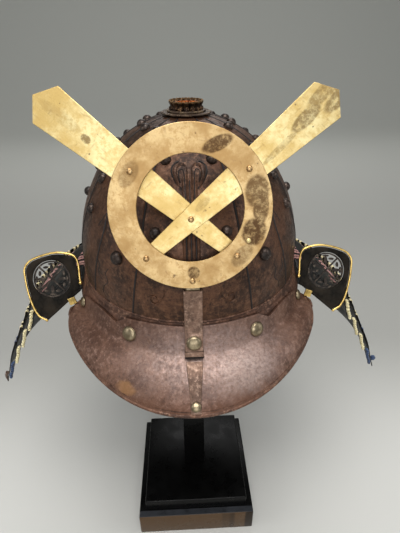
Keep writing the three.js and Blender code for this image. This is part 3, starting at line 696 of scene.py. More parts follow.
old_copper = Finish("old_copper", srgb(168, 88, 40), 0.42, metallic=0.85)
stain = old_copper.noise(160, detail=6.0)
old_copper.paint(old_copper.fade(stain, 0.4, 0.65, srgb(132, 62, 28), srgb(220, 128, 60)))
old_copper.bump(stain, 0.15 * mm)
outer, inner = sleeve_high.x, sleeve_high.x - 0.9 * mm
top = sleeve_high.z
sleeve = turned(
    [(inner, sleeve_low.z), (outer, sleeve_low.z), (outer, top - 1 * mm), (outer + 0.25 * mm, top - 0.5 * mm),
     (outer - 0.1 * mm, top), (inner + 0.1 * mm, top), (inner, top - 0.6 * mm), (inner, sleeve_low.z)],
    64,
)
piece("copper_sleeve", sleeve, old_copper, "crown_copper", "tehen_sleeve")

# ---- koshimaki -------------------------------------------------------------------------------------------
# An iron band goes right round under the bowl. It flares a little, and the visor and neck guard hang from it.
# A shallow step runs round it below the rim, where it was beaten over the bowl's edge.

band_top, band_bottom, band_flare, band_thick = 410.6 * mm, 387 * mm, 8 * mm, 2 * mm


def band_offset(z):
    """How far the band's outer face stands off the bowl's skin at a height."""
    return 0.3 * mm + (band_flare - 0.3 * mm) * (band_top - z) / (band_top - band_bottom)


def band_skin(u, v):
    z = band_bottom + (band_top - band_bottom) * v
    step = 0.5 * mm if 0.74 < v < 0.86 else 0.0
    return bowl_point(2 * pi * u, z, band_offset(z) - step)


band = placed_grid(144, 24, band_skin)
weld(band)
thicken(band, band_thick)
round_edges(band, 0.4 * mm)
piece("waist_band", band, russet_edge, "russet_iron", "koshimaki_band")

# ---- visor -----------------------------------------------------------------------------------------------
# One iron sheet: an upright flange riveted to the band, and a brim that slopes down to a rounded point.
# The flange is cut to a tab between two notches and a lobe at each end. The brim's edge is rolled under.

visor_thick, visor_clear, visor_reach = 2 * mm, 0.8 * mm, radians(68)
visor_foot = 386.5 * mm
brim_half, brim_heel, brim_nose, brim_pointed = 121 * mm, -70 * mm, 102.5 * mm, 1.5
brim_tip, brim_lift, brim_bulge = 354.5 * mm, 27 * mm, 4 * mm
tab_edge = [(0, 409.5), (11, 409.5), (22, 409.2), (30, 407.8)]
lobe_edge = [(35.5, 400.5), (41, 403), (47, 404.5), (56, 402.5), (62, 398.5), (68, 391.5)]
flange_edge = [spot for run in (tab_edge, lobe_edge) for spot in smooth_path([Vector(end) for end in run], 5)]


def flange_top(angle):
    """The height of the flange's upper edge."""
    turn = abs(angle) * 180 / pi
    for before, after in zip(flange_edge, flange_edge[1:]):
        if turn <= after.x:
            break
    return (before.y + (after.y - before.y) * min(1.0, (turn - before.x) / (after.x - before.x))) * mm


def brim_point(angle, share, lift=0.0):
    """A point of the brim, at a share of the way from the flange's foot to its edge, over its upper face."""
    swing = angle / visor_reach * pi / 2
    foot = bowl_point(angle, visor_foot, band_offset(visor_foot) + visor_clear + visor_thick)
    edge = Vector((
        brim_half * sin(swing),
        brim_heel - brim_nose * max(0.0, cos(swing)) ** brim_pointed,
        brim_tip + brim_lift * (1 - cos(swing)),
    ))
    out = Vector((edge.x - foot.x, edge.y - foot.y, 0))
    fall = atan2(foot.z - edge.z, out.length)
    out.normalize()
    normal = Vector((out.x * sin(fall), out.y * sin(fall), cos(fall)))
    return foot.lerp(edge, share) + normal * (lift + brim_bulge * sin(pi * share))


def flange_point(angle, z, lift=0.0):
    return bowl_point(angle, z, band_offset(z) + visor_clear + visor_thick + lift)


brim_share = 0.72  # of the way up the visor's skin, from the brim's edge, at which the flange starts
end_round, end_level, end_bow = radians(61), 0.6, 2.6


def soften(shape, spots, times):
    """Rounds a bend by easing its corners towards their neighbours."""
    for _ in range(times):
        bmesh.ops.smooth_vert(
            shape, verts=spots, factor=0.5, use_axis_x=True, use_axis_y=True, use_axis_z=True
        )


def visor_skin(u, v):
    """The visor from brim to flange, drawn in to a rounded lobe at each end."""
    angle = visor_reach * (2 * u - 1)
    past = max(0.0, (abs(angle) - end_round) / (visor_reach - end_round))
    v = end_level + (v - end_level) * sqrt(max(0.0, 1 - past**end_bow))
    if v < brim_share:
        return brim_point(angle, 1 - v / brim_share)
    climb = (v - brim_share) / (1 - brim_share)
    return flange_point(angle, visor_foot + (flange_top(angle) - visor_foot) * climb)


visor_iron = russet_iron("visor_iron", ((84, 57, 44), (110, 80, 65), (136, 107, 93)), roughness=0.44)

# A painted pale sheen lies over its right half, broken into fine mottles, and it is rusty along its edge and
# in a spot at the left.
fine_mottle = visor_iron.step(visor_iron.noise(420, detail=6.0, roughness=0.7), 0.36, 0.6, 0.45, 1.0)
tone = visor_iron.tone
for middle, size, ragged, scale, soft, mottled, colour, strength in (
    # The first two patches are painted sheen and highlight; the last two are rust.
    ((20, -140, 386), (76, 46, 26), 1.0, 70, 0.6, True, (178, 158, 152), 0.45),
    ((44, -146, 376), (26, 30, 14), 1.2, 90, 0.5, True, (196, 178, 170), 0.3),
    ((0, -150, 351), (95, 60, 13), 1.2, 120, 0.5, False, (88, 54, 34), 0.6),
    ((-56, -146, 364), (11, 12, 6), 1.0, 160, 0.25, False, (166, 122, 78), 0.5),
):
    sheen_and_rust_patch = visor_iron.patch(Vector(middle) * mm, size, ragged, scale, soft)
    if mottled:
        sheen_and_rust_patch = visor_iron.combine(sheen_and_rust_patch, fine_mottle)
    tone = visor_iron.mix(sheen_and_rust_patch, tone, srgb(*colour), strength)
visor_iron.paint(tone)

shape = placed_grid(180, 48, visor_skin)
weld(shape)
bend = [spot for spot in shape.verts if abs(spot.co.z - visor_foot) < 5 * mm and not spot.is_boundary]
soften(shape, bend, 14)
thicken(shape, visor_thick)
round_edges(shape, 0.4 * mm, angle=60)
piece("visor_sheet", shape, visor_iron, "russet_iron", "visor")

roll_radius, roll_reach, roll_steps = 1.7 * mm, 64, 110
roll_angles = [radians(roll_reach * (2 * k / roll_steps - 1)) for k in range(roll_steps + 1)]
roll_swell = [min(1.0, 0.25 + 0.12 * min(k, roll_steps - k)) for k in range(roll_steps + 1)]
roll_path = [brim_point(a, 1.0, -roll_radius * 0.75) for a in roll_angles]
roll = add_sweep(bmesh.new(), roll_path, round_section(roll_radius, 12), swell=roll_swell)
seam_path = [brim_point(a, 0.945, 0.1 * mm) for a in roll_angles[2:-2]]
add_sweep(roll, seam_path, round_section(0.42 * mm, 6))
piece("rolled_edge", roll, russet_edge, "russet_iron")

# ---- visor rivets ----------------------------------------------------------------------------------------
# Domed brass heads on thin flanges hold the visor to the band and the crest holder to the visor.
# The brass has gone dull with age, in pale and dark clouds.

old_brass = Finish("old_brass", srgb(150, 136, 108), 0.36, metallic=1.0)
dullness = old_brass.noise(210, detail=5.0)
tone = old_brass.fade(dullness, 0.38, 0.68, srgb(122, 110, 88), srgb(168, 153, 126))
old_brass.paint(old_brass.fade(old_brass.noise(90), 0.56, 0.72, tone, srgb(108, 98, 80), 0.4))
old_brass.gloss(old_brass.step(dullness, 0.3, 0.7, 0.46, 0.34))
old_brass.bump(dullness, 0.04 * mm)

brass_radius, brass_height = 6.6 * mm, 3.2 * mm


def brass_rivet(name, node, size, place, normal):
    """A domed head on a thin flange that is pressed against the iron."""
    radius, height = brass_radius * size, brass_height * size
    dome = [(radius * cos(k * pi / 16), height * (0.16 + 0.84 * sin(k * pi / 16))) for k in range(8)]
    shape = turned([(0, 0), (radius * 1.02, 0), (radius * 1.03, height * 0.1), *dome, (0, height)], 36)
    shape.transform(stood_on(place, normal))
    piece(name, shape, old_brass, "rivet_brass", node)


for name, side in hands:
    for spot, node, degrees, level, size in (
        ("flange", "visor_rivet", 27.5, 396 * mm, 1.0), ("end", "visor_end_rivet", 62, 392.6 * mm, 0.8)
    ):
        angle = radians(side * degrees)
        outward = bowl_normal(angle, dome_start)
        outward.z = 0.3
        place = flange_point(angle, level, 0.6 * mm)
        brass_rivet(f"{spot}_rivet_{name}", f"{node}_{name}", size, place, outward.normalized())

# ---- crest holder and tongue -----------------------------------------------------------------------------
# A flat tube of folded iron runs down the middle of the bowl's front and over the visor's flange.
# The crest's tang drops into it from above. Below it an iron tongue goes on down the brim to a last rivet.

holder_width, holder_depth, holder_wall = 15 * mm, 4.6 * mm, 1.1 * mm
holder_spots = [(-128.6, 446), (-129.1, 425), (-131.2, 411), (-134.9, 400), (-138.9, 387.5)]
tang_width, tang_thick = 11 * mm, 1.4 * mm
tang_spots = [(-123.3, 464.3), (-128.2, 448.6), (-128.7, 444), (-129.1, 425), (-130.3, 417)]
tongue_top, tongue_end, tongue_thick, gap = 13.5 * mm, 8.5 * mm, 1.2 * mm, 0.3 * mm


def middle_path(spots, steps):
    return smooth_path([Vector((0, y * mm, z * mm)) for y, z in spots], steps)


def flat_section(width, depth, corner, steps=3):
    """A rounded rectangle."""
    section = []
    across, up = width / 2 - corner, depth / 2 - corner
    for quarter, (x, y) in enumerate(((across, up), (-across, up), (-across, -up), (across, -up))):
        for k in range(steps + 1):
            turn = (quarter + k / steps) * pi / 2
            section.append((x + corner * cos(turn), y + corner * sin(turn)))
    return section


strap_iron = russet_iron("strap_iron", ((92, 70, 58), (128, 100, 84), (166, 138, 120)), 0.4, roughness=0.44)
forward = Vector((0, -1, 0.2))
tube_section = flat_section(holder_width, holder_depth, 0.9 * mm)
holder = add_sweep(bmesh.new(), middle_path(holder_spots, 8), tube_section, forward)
ends = [face for face in holder.faces if len(face.verts) > 8]
bmesh.ops.inset_region(holder, faces=ends, thickness=holder_wall, use_even_offset=True)
for mouth in [face for face in holder.faces if len(face.verts) > 8]:
    inward = -mouth.normal * 9 * mm
    sunk = bmesh.ops.extrude_discrete_faces(holder, faces=[mouth])["faces"]
    bmesh.ops.translate(holder, vec=inward, verts=sunk[0].verts)

# The tube's foot has a hem folded round it, with a dark line of painted shadow above and below.
hem_path = middle_path([(-137.6, 391.8), (-138.8, 388)], 4)
hem_section = flat_section(holder_width + 0.7 * mm, holder_depth + 1.2 * mm, 0.9 * mm)
add_sweep(holder, hem_path, hem_section, forward)
piece("holder_tube", holder, strap_iron, "russet_iron", "crest_holder", crease=20)

hem_shadow_lines = bmesh.new()
for y, z in ((-137.3, 392.4), (-139.1, 387.4)):
    size = Matrix.Diagonal((holder_width + 0.3 * mm, holder_depth + 0.8 * mm, 0.7 * mm, 1.0))
    bmesh.ops.create_cube(hem_shadow_lines, size=1.0, matrix=Matrix.Translation((0, y * mm, z * mm)) @ size)
piece("holder_hem_shadow_lines", hem_shadow_lines, chased_and_shadow_black, "russet_iron")

tang_section = flat_section(tang_width, tang_thick, 0.4 * mm, 2)
tang = add_sweep(bmesh.new(), middle_path(tang_spots, 6), tang_section, forward)
piece("tang_strip", tang, old_brass, "rivet_brass", "crest_tang", crease=35)

tongue_from, tongue_to, tongue_rivet = 0.14, 0.97, 0.86
tongue_run = [tongue_from + (tongue_to - tongue_from) * k / 20 for k in range(21)]
tongue_path = [brim_point(0, share, gap + tongue_thick / 2) for share in tongue_run]
tongue_section = flat_section(tongue_top, tongue_thick, 0.45 * mm, 2)
tongue = add_sweep(bmesh.new(), tongue_path, tongue_section, Vector((0, -0.3, 1)))
for spot in tongue.verts:
    share = (spot.co.y - tongue_path[0].y) / (tongue_path[-1].y - tongue_path[0].y)
    share = min(1.0, max(0.0, share))
    spot.co.x *= 1 - (1 - tongue_end / tongue_top) * share * share * (3 - 2 * share)
piece("visor_tongue_strip", tongue, strap_iron, "russet_iron", "visor_tongue", crease=35)

upper, lower = (Vector((0, y * mm, z * mm)) for y, z in holder_spots[-2:])
down = (lower - upper).normalized()
outward = Vector((0, down.z, -down.y))
holder_face = upper.lerp(lower, 0.08) + outward * (holder_depth / 2 + gap + 0.1 * mm)
brass_rivet("holder_brass_rivet", "holder_rivet", 0.93, holder_face, outward)
tongue_normal = (brim_point(0, tongue_rivet, 10 * mm) - brim_point(0, tongue_rivet)).normalized()
tongue_face = brim_point(0, tongue_rivet, 3 * gap + tongue_thick + 0.2 * mm)
brass_rivet("tongue_brass_rivet", "tongue_rivet", 0.61, tongue_face, tongue_normal)

# ---- crest -----------------------------------------------------------------------------------------------
# A flat gilt brass ring lies over two crossed gilt blades, held by small brass rivets through both.
# The gilding is rubbed pale, redder on the ring, with brown tarnish on its right side and a blade's tip.

crest_middle, crest_lean = Vector((0, -111.5, 506.7)) * mm, radians(17)
ring_outer, ring_inner, crest_plate = 61 * mm, 39.75 * mm, 1.6 * mm
blade_axis, blade_cross = radians(50.4), -8 * mm
blade_low, blade_shoulder, blade_tip = -52 * mm, 128.4 * mm, 138.8 * mm
blade_width, blade_spread = 16.6 * mm, 0.115
crest_frame = Matrix.Translation(crest_middle) @ Matrix.Rotation(pi / 2 - crest_lean, 4, "X")


def on_crest(right, up, out=0.0):
    return crest_frame @ Vector((right * mm, up * mm, out * mm))


def gilt_brass(name, pale, warm, dull, brown, tarnish_spots, scratch_turns):
    """Worn gilding: cloudy pale and warm tones, fine scratches both ways, freckles and brown tarnish."""
    made = Finish(name, pale, 0.45, metallic=1.0)
    clouds = made.noise(40, detail=8.0, roughness=0.66)
    fine = made.noise(240, detail=8.0, roughness=0.74)
    freckles = made.step(made.noise(230, detail=4.0), 0.66, 0.74, 0.0, 0.75)
    tone = made.fade(clouds, 0.36, 0.64, warm, pale)
    tone = made.fade(fine, 0.47, 0.6, tone, warm, 0.75)
    tone = made.mix(freckles, tone, brown)
    for turn in scratch_turns:
        drawn = made.placed(size=(1 / 0.14, 1, 1), turn=(0, radians(turn), 0))
        tone = made.fade(made.noise(420, detail=4.0, at=drawn), 0.6, 0.72, tone, dull, 0.35)
    dirt = None
    for middle, size, turn, strength in tarnish_spots:
        spot = made.combine(made.patch(middle, size, 3.2, 75, 0.2, radians(turn)), strength)
        dirt = made.combine(dirt, spot, "MAXIMUM") if dirt else spot
    speckled = made.combine(dirt, made.step(fine, 0.36, 0.54, 0.25, 1.0))
    made.paint(made.mix(speckled, tone, brown))
    made.gloss(made.combine(made.step(clouds, 0.3, 0.7, 0.5, 0.4), made.combine(dirt, 0.22), "ADD"))
    made.shine(made.step(freckles, 0.0, 1.0, 1.0, 0.7))
    under = made.bump(clouds, 0.3 * mm)
    for turn in scratch_turns:
        brushed = made.placed(size=(1, 20, 20), turn=(0, radians(turn), 0))
        under = made.bump(made.noise(900, detail=3.0, at=brushed), 0.05 * mm, under=under)
    made.bump(fine, 0.1 * mm, under=under)
    return made


gilt_pale, gilt_warm = srgb(224, 208, 156), srgb(200, 172, 110)
gilt_dull, gilt_brown = srgb(150, 118, 76), srgb(84, 60, 42)
ring_gilt = gilt_brass(
    "ring_gilt", srgb(196, 170, 124), srgb(166, 134, 88), srgb(138, 108, 76), gilt_brown,
    [
        (on_crest(49, 12), (6, 12, 8), 6, 0.7), (on_crest(52, 0), (4, 12, 9), 4, 0.75),
        (on_crest(47, -18), (6, 12, 7), 20, 0.9), (on_crest(20, 46), (8, 10, 3.4), -22, 0.85),
        (on_crest(1, -48), (3.2, 8, 3.2), 0, 0.8), (on_crest(38, -36), (7, 10, 4), -45, 0.4),
        (on_crest(-44, 26), (7, 12, 4), -55, 0.3),
    ],
    (16, 62),
)
right_gilt = gilt_brass(
    "right_blade_gilt", gilt_pale, gilt_warm, gilt_dull, gilt_brown,
    [
        (on_crest(110, 78), (12, 14, 4), -42, 0.6), (on_crest(99, 82), (14, 12, 3.4), -42, 0.5),
        (on_crest(84, 62), (9, 12, 3.4), -42, 0.6), (on_crest(9, 3), (5, 10, 2), -42, 0.2),
        (on_crest(66, 42), (12, 12, 1.6), -42, 0.3),
    ],
    (40, -40),
)
left_gilt = gilt_brass(
    "left_blade_gilt", gilt_pale, gilt_warm, gilt_dull, gilt_brown,
    [(on_crest(-90, 66), (12, 10, 3), 38, 0.14), (on_crest(-73, 50), (2.6, 10, 2), 38, 0.6)],
    (-50, 40),
)

crest_ring = ring_plate(0, crest_plate, ring_outer, ring_inner, 160)
round_edges(crest_ring, 0.4 * mm)
crest_ring.transform(crest_frame)
piece("gilt_ring", crest_ring, ring_gilt, "crest_gilt", "crest_ring", crease=15)


def layer(number):
    """The height of a plate's back in the stack; the ring's back is layer 0."""
    return -number * (crest_plate + gap)


def blade_half(along):
    return (blade_width + blade_spread * along) / 2


def crest_blade(side, number):
    """A flat blade that widens to square shoulders and ends in a low point, its faces parted by one line."""
    shape = bmesh.new()
    low, wide = blade_half(blade_low), blade_half(blade_shoulder)
    corners = [(-low, blade_low), (low, blade_low)]
    corners += [(wide, blade_shoulder), (0, blade_tip), (-wide, blade_shoulder)]
    dots = [shape.verts.new((x, y, crest_plate)) for x, y in corners]
    shape.faces.new(dots)
    whole = shape.faces[:] + shape.edges[:] + shape.verts[:]
    bmesh.ops.bisect_plane(shape, geom=whole, plane_co=(0, 60 * mm, 0), plane_no=(0, 1, 0))
    thicken(shape, crest_plate)
    round_edges(shape, 0.4 * mm)
    turn = Matrix.Rotation(-side * blade_axis, 4, "Z")
    shape.transform(crest_frame @ Matrix.Translation((0, blade_cross, layer(number))) @ turn)
    return shape


piece("gilt_blade_right", crest_blade(1, 1), right_gilt, "crest_gilt", "crest_blade_right", crease=15)
piece("gilt_blade_left", crest_blade(-1, 2), left_gilt, "crest_gilt", "crest_blade_left", crease=15)

stud_brass = Finish("stud_brass", srgb(188, 154, 106), 0.34, metallic=1.0)
stud_grain = stud_brass.noise(400, detail=4.0)
stud_brass.paint(stud_brass.fade(stud_grain, 0.4, 0.7, srgb(150, 116, 76), srgb(214, 182, 132)))
stud_brass.bump(stud_grain, 0.06 * mm)
stud_head, stud_rise, stud_shank = 2.4 * mm, 1.5 * mm, 1.2 * mm


def crest_stud(name, node, right, up, front, back):
    """A small rivet through a stack of plates, domed in front and beaten flat behind."""
    tail = [(0, 1.1), (stud_head * 0.8, 1.0), (stud_head * 0.85, 0.2), (stud_shank, 0.1)]
    dome = [(stud_head * cos(k * pi / 12), stud_rise * (0.2 + 0.8 * sin(k * pi / 12))) for k in range(6)]
    head = [(stud_shank, 0), (stud_head * 0.95, 0), *dome, (0, stud_rise)]
    shape = turned([(r, back - z * mm) for r, z in tail] + [(r, front + z) for r, z in head], 16)
    shape.transform(crest_frame @ Matrix.Translation((right, up, 0)))
    piece(name, shape, stud_brass, "rivet_brass", node)


for name, side, number in (("right", 1, 1), ("left", -1, 2)):
    for height, along in (("upper", 56 * mm), ("lower", -44.7 * mm)):
        right, up = side * along * sin(blade_axis), blade_cross + along * cos(blade_axis)
        place = f"{name}_{height}"
        crest_stud(f"stud_{place}", f"crest_rivet_{place}", right, up, crest_plate, layer(number))
crest_stud("stud_crossing", "crest_rivet_crossing", 0, blade_cross, layer(1) + crest_plate, layer(2))
crest_stud("stud_bottom", "crest_rivet_bottom", 0, -55 * mm, crest_plate, layer(1))

# One small gilt bead stands on the ring at its lower right.
bead = bmesh.new()
crest_normal = (on_crest(0, 0, 10) - on_crest(0, 0)).normalized()
add_rivet(bead, on_crest(43, -25, 1.5), crest_normal, 1.9 * mm, 0.9 * mm, sides=14)
piece("gilt_bead", bead, right_gilt, "crest_gilt")

# ---- shikoro ---------------------------------------------------------------------------------------------
# Five curved lames of black lacquered rawhide hang one below the other round the sides and back.
# They spread like a skirt, each outside the one above it, and their lower edges are slightly raised.

lame_front, lame_thick, lace_room, lame_overlap = -51 * mm, 2 * mm, 1.4 * mm, 7 * mm
round_top = 23 * mm
skirt_top, skirt_shoulder = Vector((114, 404)) * mm, Vector((134.3, 399)) * mm
skirt_knee, skirt_hem = Vector((169, 368)) * mm, Vector((199, 275)) * mm
wing_foot, wing_lean = 366 * mm, radians(25)
lame_count = 5
lame_step = lame_thick + lace_room + 2 * gap
hidden_lap = 14 * mm
lower_run = (skirt_hem - skirt_knee).length
lame_tall = lower_run / (lame_count - 1)


def skirt_point(radius, z, share):
    """A point of the flaring skirt at a half width and height, from its right front edge round to its left.
    The front edges lean back behind the wings."""
    flared = (radius - skirt_top.x) / (skirt_hem.x - skirt_top.x)
    depth = radius + round_top * (1 - flared)
    front = lame_front + max(0.0, z - wing_foot) * tan(wing_lean)
    opening = acos(-front / depth)
    angle = opening + (2 * pi - 2 * opening) * share
    return Vector((radius * sin(angle), -depth * cos(angle), z))


def on_slope(high, low):
    """Makes the placer for one slope of the skirt: a run down from its top, out from its inner face."""
    fall = (low - high).normalized()

    def place(run, out, share):
        spot = high + fall * run
        return skirt_point(spot.x - fall.y * out, spot.y + fall.x * out, share)

    return place


on_brow, on_side, on_lower = (
    on_slope(high, low)
    for high, low in ((skirt_top, skirt_shoulder), (skirt_shoulder, skirt_knee), (skirt_knee, skirt_hem))
)

black_lacquer = Finish("black_lacquer", srgb(12, 9, 8), 0.4, specular=0.3)
crazing = black_lacquer.noise(46, detail=7.0)
black_lacquer.paint(black_lacquer.fade(crazing, 0.6, 0.72, srgb(10, 8, 7), srgb(50, 32, 22), 0.8))
black_lacquer.gloss(black_lacquer.step(crazing, 0.35, 0.7, 0.34, 0.55))
black_lacquer.bump(black_lacquer.noise(90, detail=4.0), 0.3 * mm)

brow_run, side_run = (skirt_shoulder - skirt_top).length, (skirt_knee - skirt_shoulder).length


def upper_lame_skin(u, v):
    run = (brow_run + side_run + hidden_lap) * (1 - v)
    if run <= brow_run:
        return on_brow(run, lame_thick, u)
    if run <= brow_run + side_run:
        return on_side(run - brow_run, lame_thick, u)
    return on_lower(run - brow_run - side_run, lame_thick, u)


def lower_lame_skin(number):
    lift = (number - 1) * lame_step
    first = (number - 2) * lame_tall - lame_overlap
    last = (number - 1) * lame_tall + (hidden_lap if number < lame_count else 0)

    def place(u, v):
        ridge = 0.7 * mm * max(0.0, 1 - v * 14)
        return on_lower(last + (first - last) * v, lift + lame_thick + ridge, u)

    return place


for number in range(1, lame_count + 1):
    skin = upper_lame_skin if number == 1 else lower_lame_skin(number)
    shape = placed_grid(120, 32, skin)
    if number == 1:
        soften(shape, [spot for spot in shape.verts if not spot.is_boundary], 6)
    thicken(shape, lame_thick)
    round_edges(shape, 0.6 * mm)
    halves = [f"shikoro_lame_{number}_{side}" for side in ("right", "left")]
    piece(f"lacquered_lame_{number}", shape, black_lacquer, "lame_lacquer", *halves)

# ---- lacing ----------------------------------------------------------------------------------------------
# Flat braided silk laces hold each lame to the one above. They come up between the two lames,
# over the lower one's top edge and back in through its holes: cream above, blue below, pink by the band.


def braided_silk(name, light, dark):
    made = Finish(name, light, 0.7, sheen_weight=0.35, sheen_roughness=0.4)
    plait = made.noise(700, detail=2.0, at=made.placed(size=(1, 1, 1 / 0.6)))
    tone = made.fade(plait, 0.36, 0.6, dark, light)
    made.paint(made.fade(made.noise(30, detail=5.0), 0.5, 0.75, tone, srgb(120, 104, 78), 0.5))
    made.bump(plait, 0.45 * mm)
    return made


cream_silk = braided_silk("cream_silk", srgb(228, 218, 176), srgb(170, 156, 112))
blue_silk = braided_silk("blue_silk", srgb(40, 66, 104), srgb(20, 32, 58))
pink_silk = braided_silk("pink_silk", srgb(176, 128, 120), srgb(116, 74, 70))

lace_wide, lace_flat = 3.8 * mm, 1 * mm
lace_pairs, pair_spread = 34, 0.0052
lace_middles = [(k + 1.8) / (lace_pairs + 2.6) for k in range(lace_pairs)]
lace_shares = [middle + spread for middle in lace_middles for spread in (-pair_spread, pair_spread)]


def add_lace(shape, spots, wide=lace_wide):
    """One flat lace along spots, lying flat against the skirt."""
    path = smooth_path(spots, 3)
    flat_out = Vector((path[0].x, path[0].y, 0)).normalized()
    flat_out.z = 0.35
    level = Vector((0, 0, 1)).cross(flat_out).normalized()
    runs = [(after - before).normalized() for before, after in zip(path[:1] + path, path[1:] + path[-1:])]
    outward = [level.cross(run) for run in runs]
    add_sweep(shape, path, round_section(wide / 2, 6, lace_flat / wide), outward)


for number in range(1, lame_count):
    lift = number * lame_step
    start = (number - 1) * lame_tall
    between = lift - gap - lace_room / 2
    outside = lift + lame_thick + lace_flat / 2
    top_edge = start - lame_overlap
    lacing = bmesh.new()
    route = [
        (start + 6.5 * mm, between), (start, between), (top_edge + 1 * mm, between),
        (top_edge - 1 * mm, lift + lame_thick / 2 - 0.2 * mm), (top_edge + 0.8 * mm, outside),
        (top_edge + 5 * mm, outside), (top_edge + 9.5 * mm, outside),
        (top_edge + 11 * mm, outside - 1.2 * mm),
    ]
    for share in lace_shares:
        add_lace(lacing, [on_lower(run, out, share) for run, out in route])
    for share, ahead in ((0.0, -0.0022), (1.0, 0.0022)):
        edge_runs = [top_edge + 1 * mm + k / 12 * (lame_overlap + hidden_lap + 2 * mm) for k in range(13)]
        sway = [between + 0.4 * mm * (-1) ** k for k in range(13)]
        edge_path = smooth_path([on_lower(run, out, share + ahead) for run, out in zip(edge_runs, sway)], 3)
        twist = [0.86 + 0.2 * sin(k * 1.3) - (0.3 if k in (0, 36) else 0.0) for k in range(37)]
        add_sweep(lacing, edge_path, round_section(1.7 * mm, 8, 1.5), frontward, twist)
    silk = cream_silk if number < 4 else blue_silk
    piece(f"silk_lacing_{number}", lacing, silk, "lacing_silk", f"shikoro_lacing_{number}")

top_lacing, pink_lacing = bmesh.new(), bmesh.new()
outer_face = lame_thick + lace_flat / 2
tucked = outer_face - 1.2 * mm
for share in lace_shares:
    hook = [(2.5, -0.9 * mm), (-0.9, lame_thick / 2), (0.8, outer_face), (8, outer_face), (10, tucked)]
    add_lace(pink_lacing, [on_brow(run * mm, out, share) for run, out in hook])
    bar = [(28, tucked), (29.5, outer_face), (35, outer_face), (40, outer_face), (42, tucked)]
    add_lace(top_lacing, [on_side(run * mm, out, share) for run, out in bar])
piece("silk_top_lacing", top_lacing, pink_silk, "lacing_silk")
piece("silk_pink_lacing", pink_lacing, pink_silk, "lacing_silk")

# A row of crossed stitches runs round the lowest lame, and ends in a small knot at the right front edge.
cross_stitches = bmesh.new()
cross_top, cross_low, cross_spread = 3.45 * lame_tall, 3.78 * lame_tall, 0.0075
cross_out = (lame_count - 1) * lame_step + lame_thick + lace_flat / 2
for middle in lace_middles:
    for sway in (-cross_spread, cross_spread):
        ends = ((cross_top, sway, -1), (cross_top + 1 * mm, sway * 0.85, 0.2),
                (cross_low - 1 * mm, -sway * 0.85, 0.2), (cross_low, -sway, -1))
        stitch = [on_lower(run, cross_out + out * mm, middle + aside) for run, aside, out in ends]
        add_lace(cross_stitches, stitch, 2.6 * mm)
piece("crossed_stitches", cross_stitches, pink_silk, "lacing_silk")

knot = bmesh.new()
knot_middle = on_lower(3.62 * lame_tall, cross_out + 1.6 * mm, 0.004)
for turn in (0, pi / 3, 2 * pi / 3):
    flat = Matrix.Rotation(turn, 4, "Y") @ Matrix.Diagonal((1.0, 0.75, 0.55, 1.0))
    loop = Matrix.Translation(knot_middle) @ flat
    bmesh.ops.create_uvsphere(knot, u_segments=14, v_segments=8, radius=3.6 * mm, matrix=loop)
piece("end_knot", knot, blue_silk, "lacing_silk")

# At the left front edge the cord's end is whipped with brown thread and hangs a little below the lame.
brown_thread = braided_silk("brown_thread", srgb(96, 70, 52), srgb(48, 34, 26))
cord_runs = [(3.55, 1.0), (3.7, 1.8), (3.86, 1.2), (4.0, -0.2), (4.1, -0.8)]
cord_path = [on_lower(run * lame_tall, cross_out + out * mm, 0.998) for run, out in cord_runs]
taper = [1.0 - 0.045 * k for k in range(4 * len(cord_path))]
cord_end = add_sweep(bmesh.new(), smooth_path(cord_path, 4), round_section(2.1 * mm, 10), frontward, taper)
piece("cord_end", cord_end, brown_thread, "lacing_silk")

# ---- fukigaeshi ------------------------------------------------------------------------------------------
# The front ends of the top lame are turned back into two upright wings, covered with dark stencilled leather.
# Each has a round window filled with iron openwork, and a gilt rim round its free edges.
# A wing is drawn flat, as seen from in front, and then stood up on its foot, leaning back.

wing_back, wing_thick = -52 * mm, 2 * mm
wing_free_edge = [(115, 42), (115.6, 54), (118, 61.5), (125, 64.8), (137, 66), (151, 63), (161.5, 58.5),
                  (166.3, 52), (166.3, 44), (164.5, 30), (160, 13.5), (155, 4)]
wing_root, wing_end = Vector((113.5, 29.5)) * mm, Vector((148, 0)) * mm
window_middle, window_radius = Vector((141, 41)) * mm, 19 * mm
wing_stand = Matrix.Translation((0, wing_back, wing_foot)) @ Matrix.Rotation(pi / 2 - wing_lean, 4, "X")
wing_outline = [wing_root, *smooth_path([Vector(spot) * mm for spot in wing_free_edge], 4), wing_end]

wing_leather = Finish("wing_leather", srgb(12, 10, 7), 0.7, specular=0.12)
leather_grain = wing_leather.cells(900)
handled = wing_leather.noise(60, detail=6.0)
stencil = wing_leather.cells(210, feature="DISTANCE_TO_EDGE")
tone = wing_leather.fade(handled, 0.35, 0.7, srgb(8, 6, 4), srgb(36, 29, 21))
wing_leather.paint(wing_leather.mix(wing_leather.step(stencil, 0.05, 0.12), tone, srgb(36, 33, 28), 0.3))
wing_leather.gloss(wing_leather.step(handled, 0.3, 0.7, 0.8, 0.6))
wing_leather.bump(leather_grain, 0.12 * mm, under=wing_leather.bump(handled, 0.3 * mm))

rim_gilt = Finish("rim_gilt", srgb(226, 190, 110), 0.3, metallic=1.0)
rim_wear = rim_gilt.noise(150, detail=6.0)
rim_gilt.paint(rim_gilt.fade(rim_wear, 0.5, 0.7, srgb(232, 198, 120), srgb(158, 120, 60), 0.8))
rim_gilt.gloss(rim_gilt.step(rim_wear, 0.3, 0.7, 0.24, 0.4))
rim_gilt.bump(rim_wear, 0.15 * mm)

openwork_iron = russet_iron("openwork_iron", ((24, 20, 18), (52, 44, 38), (104, 92, 80)), 0.6, 0.6)


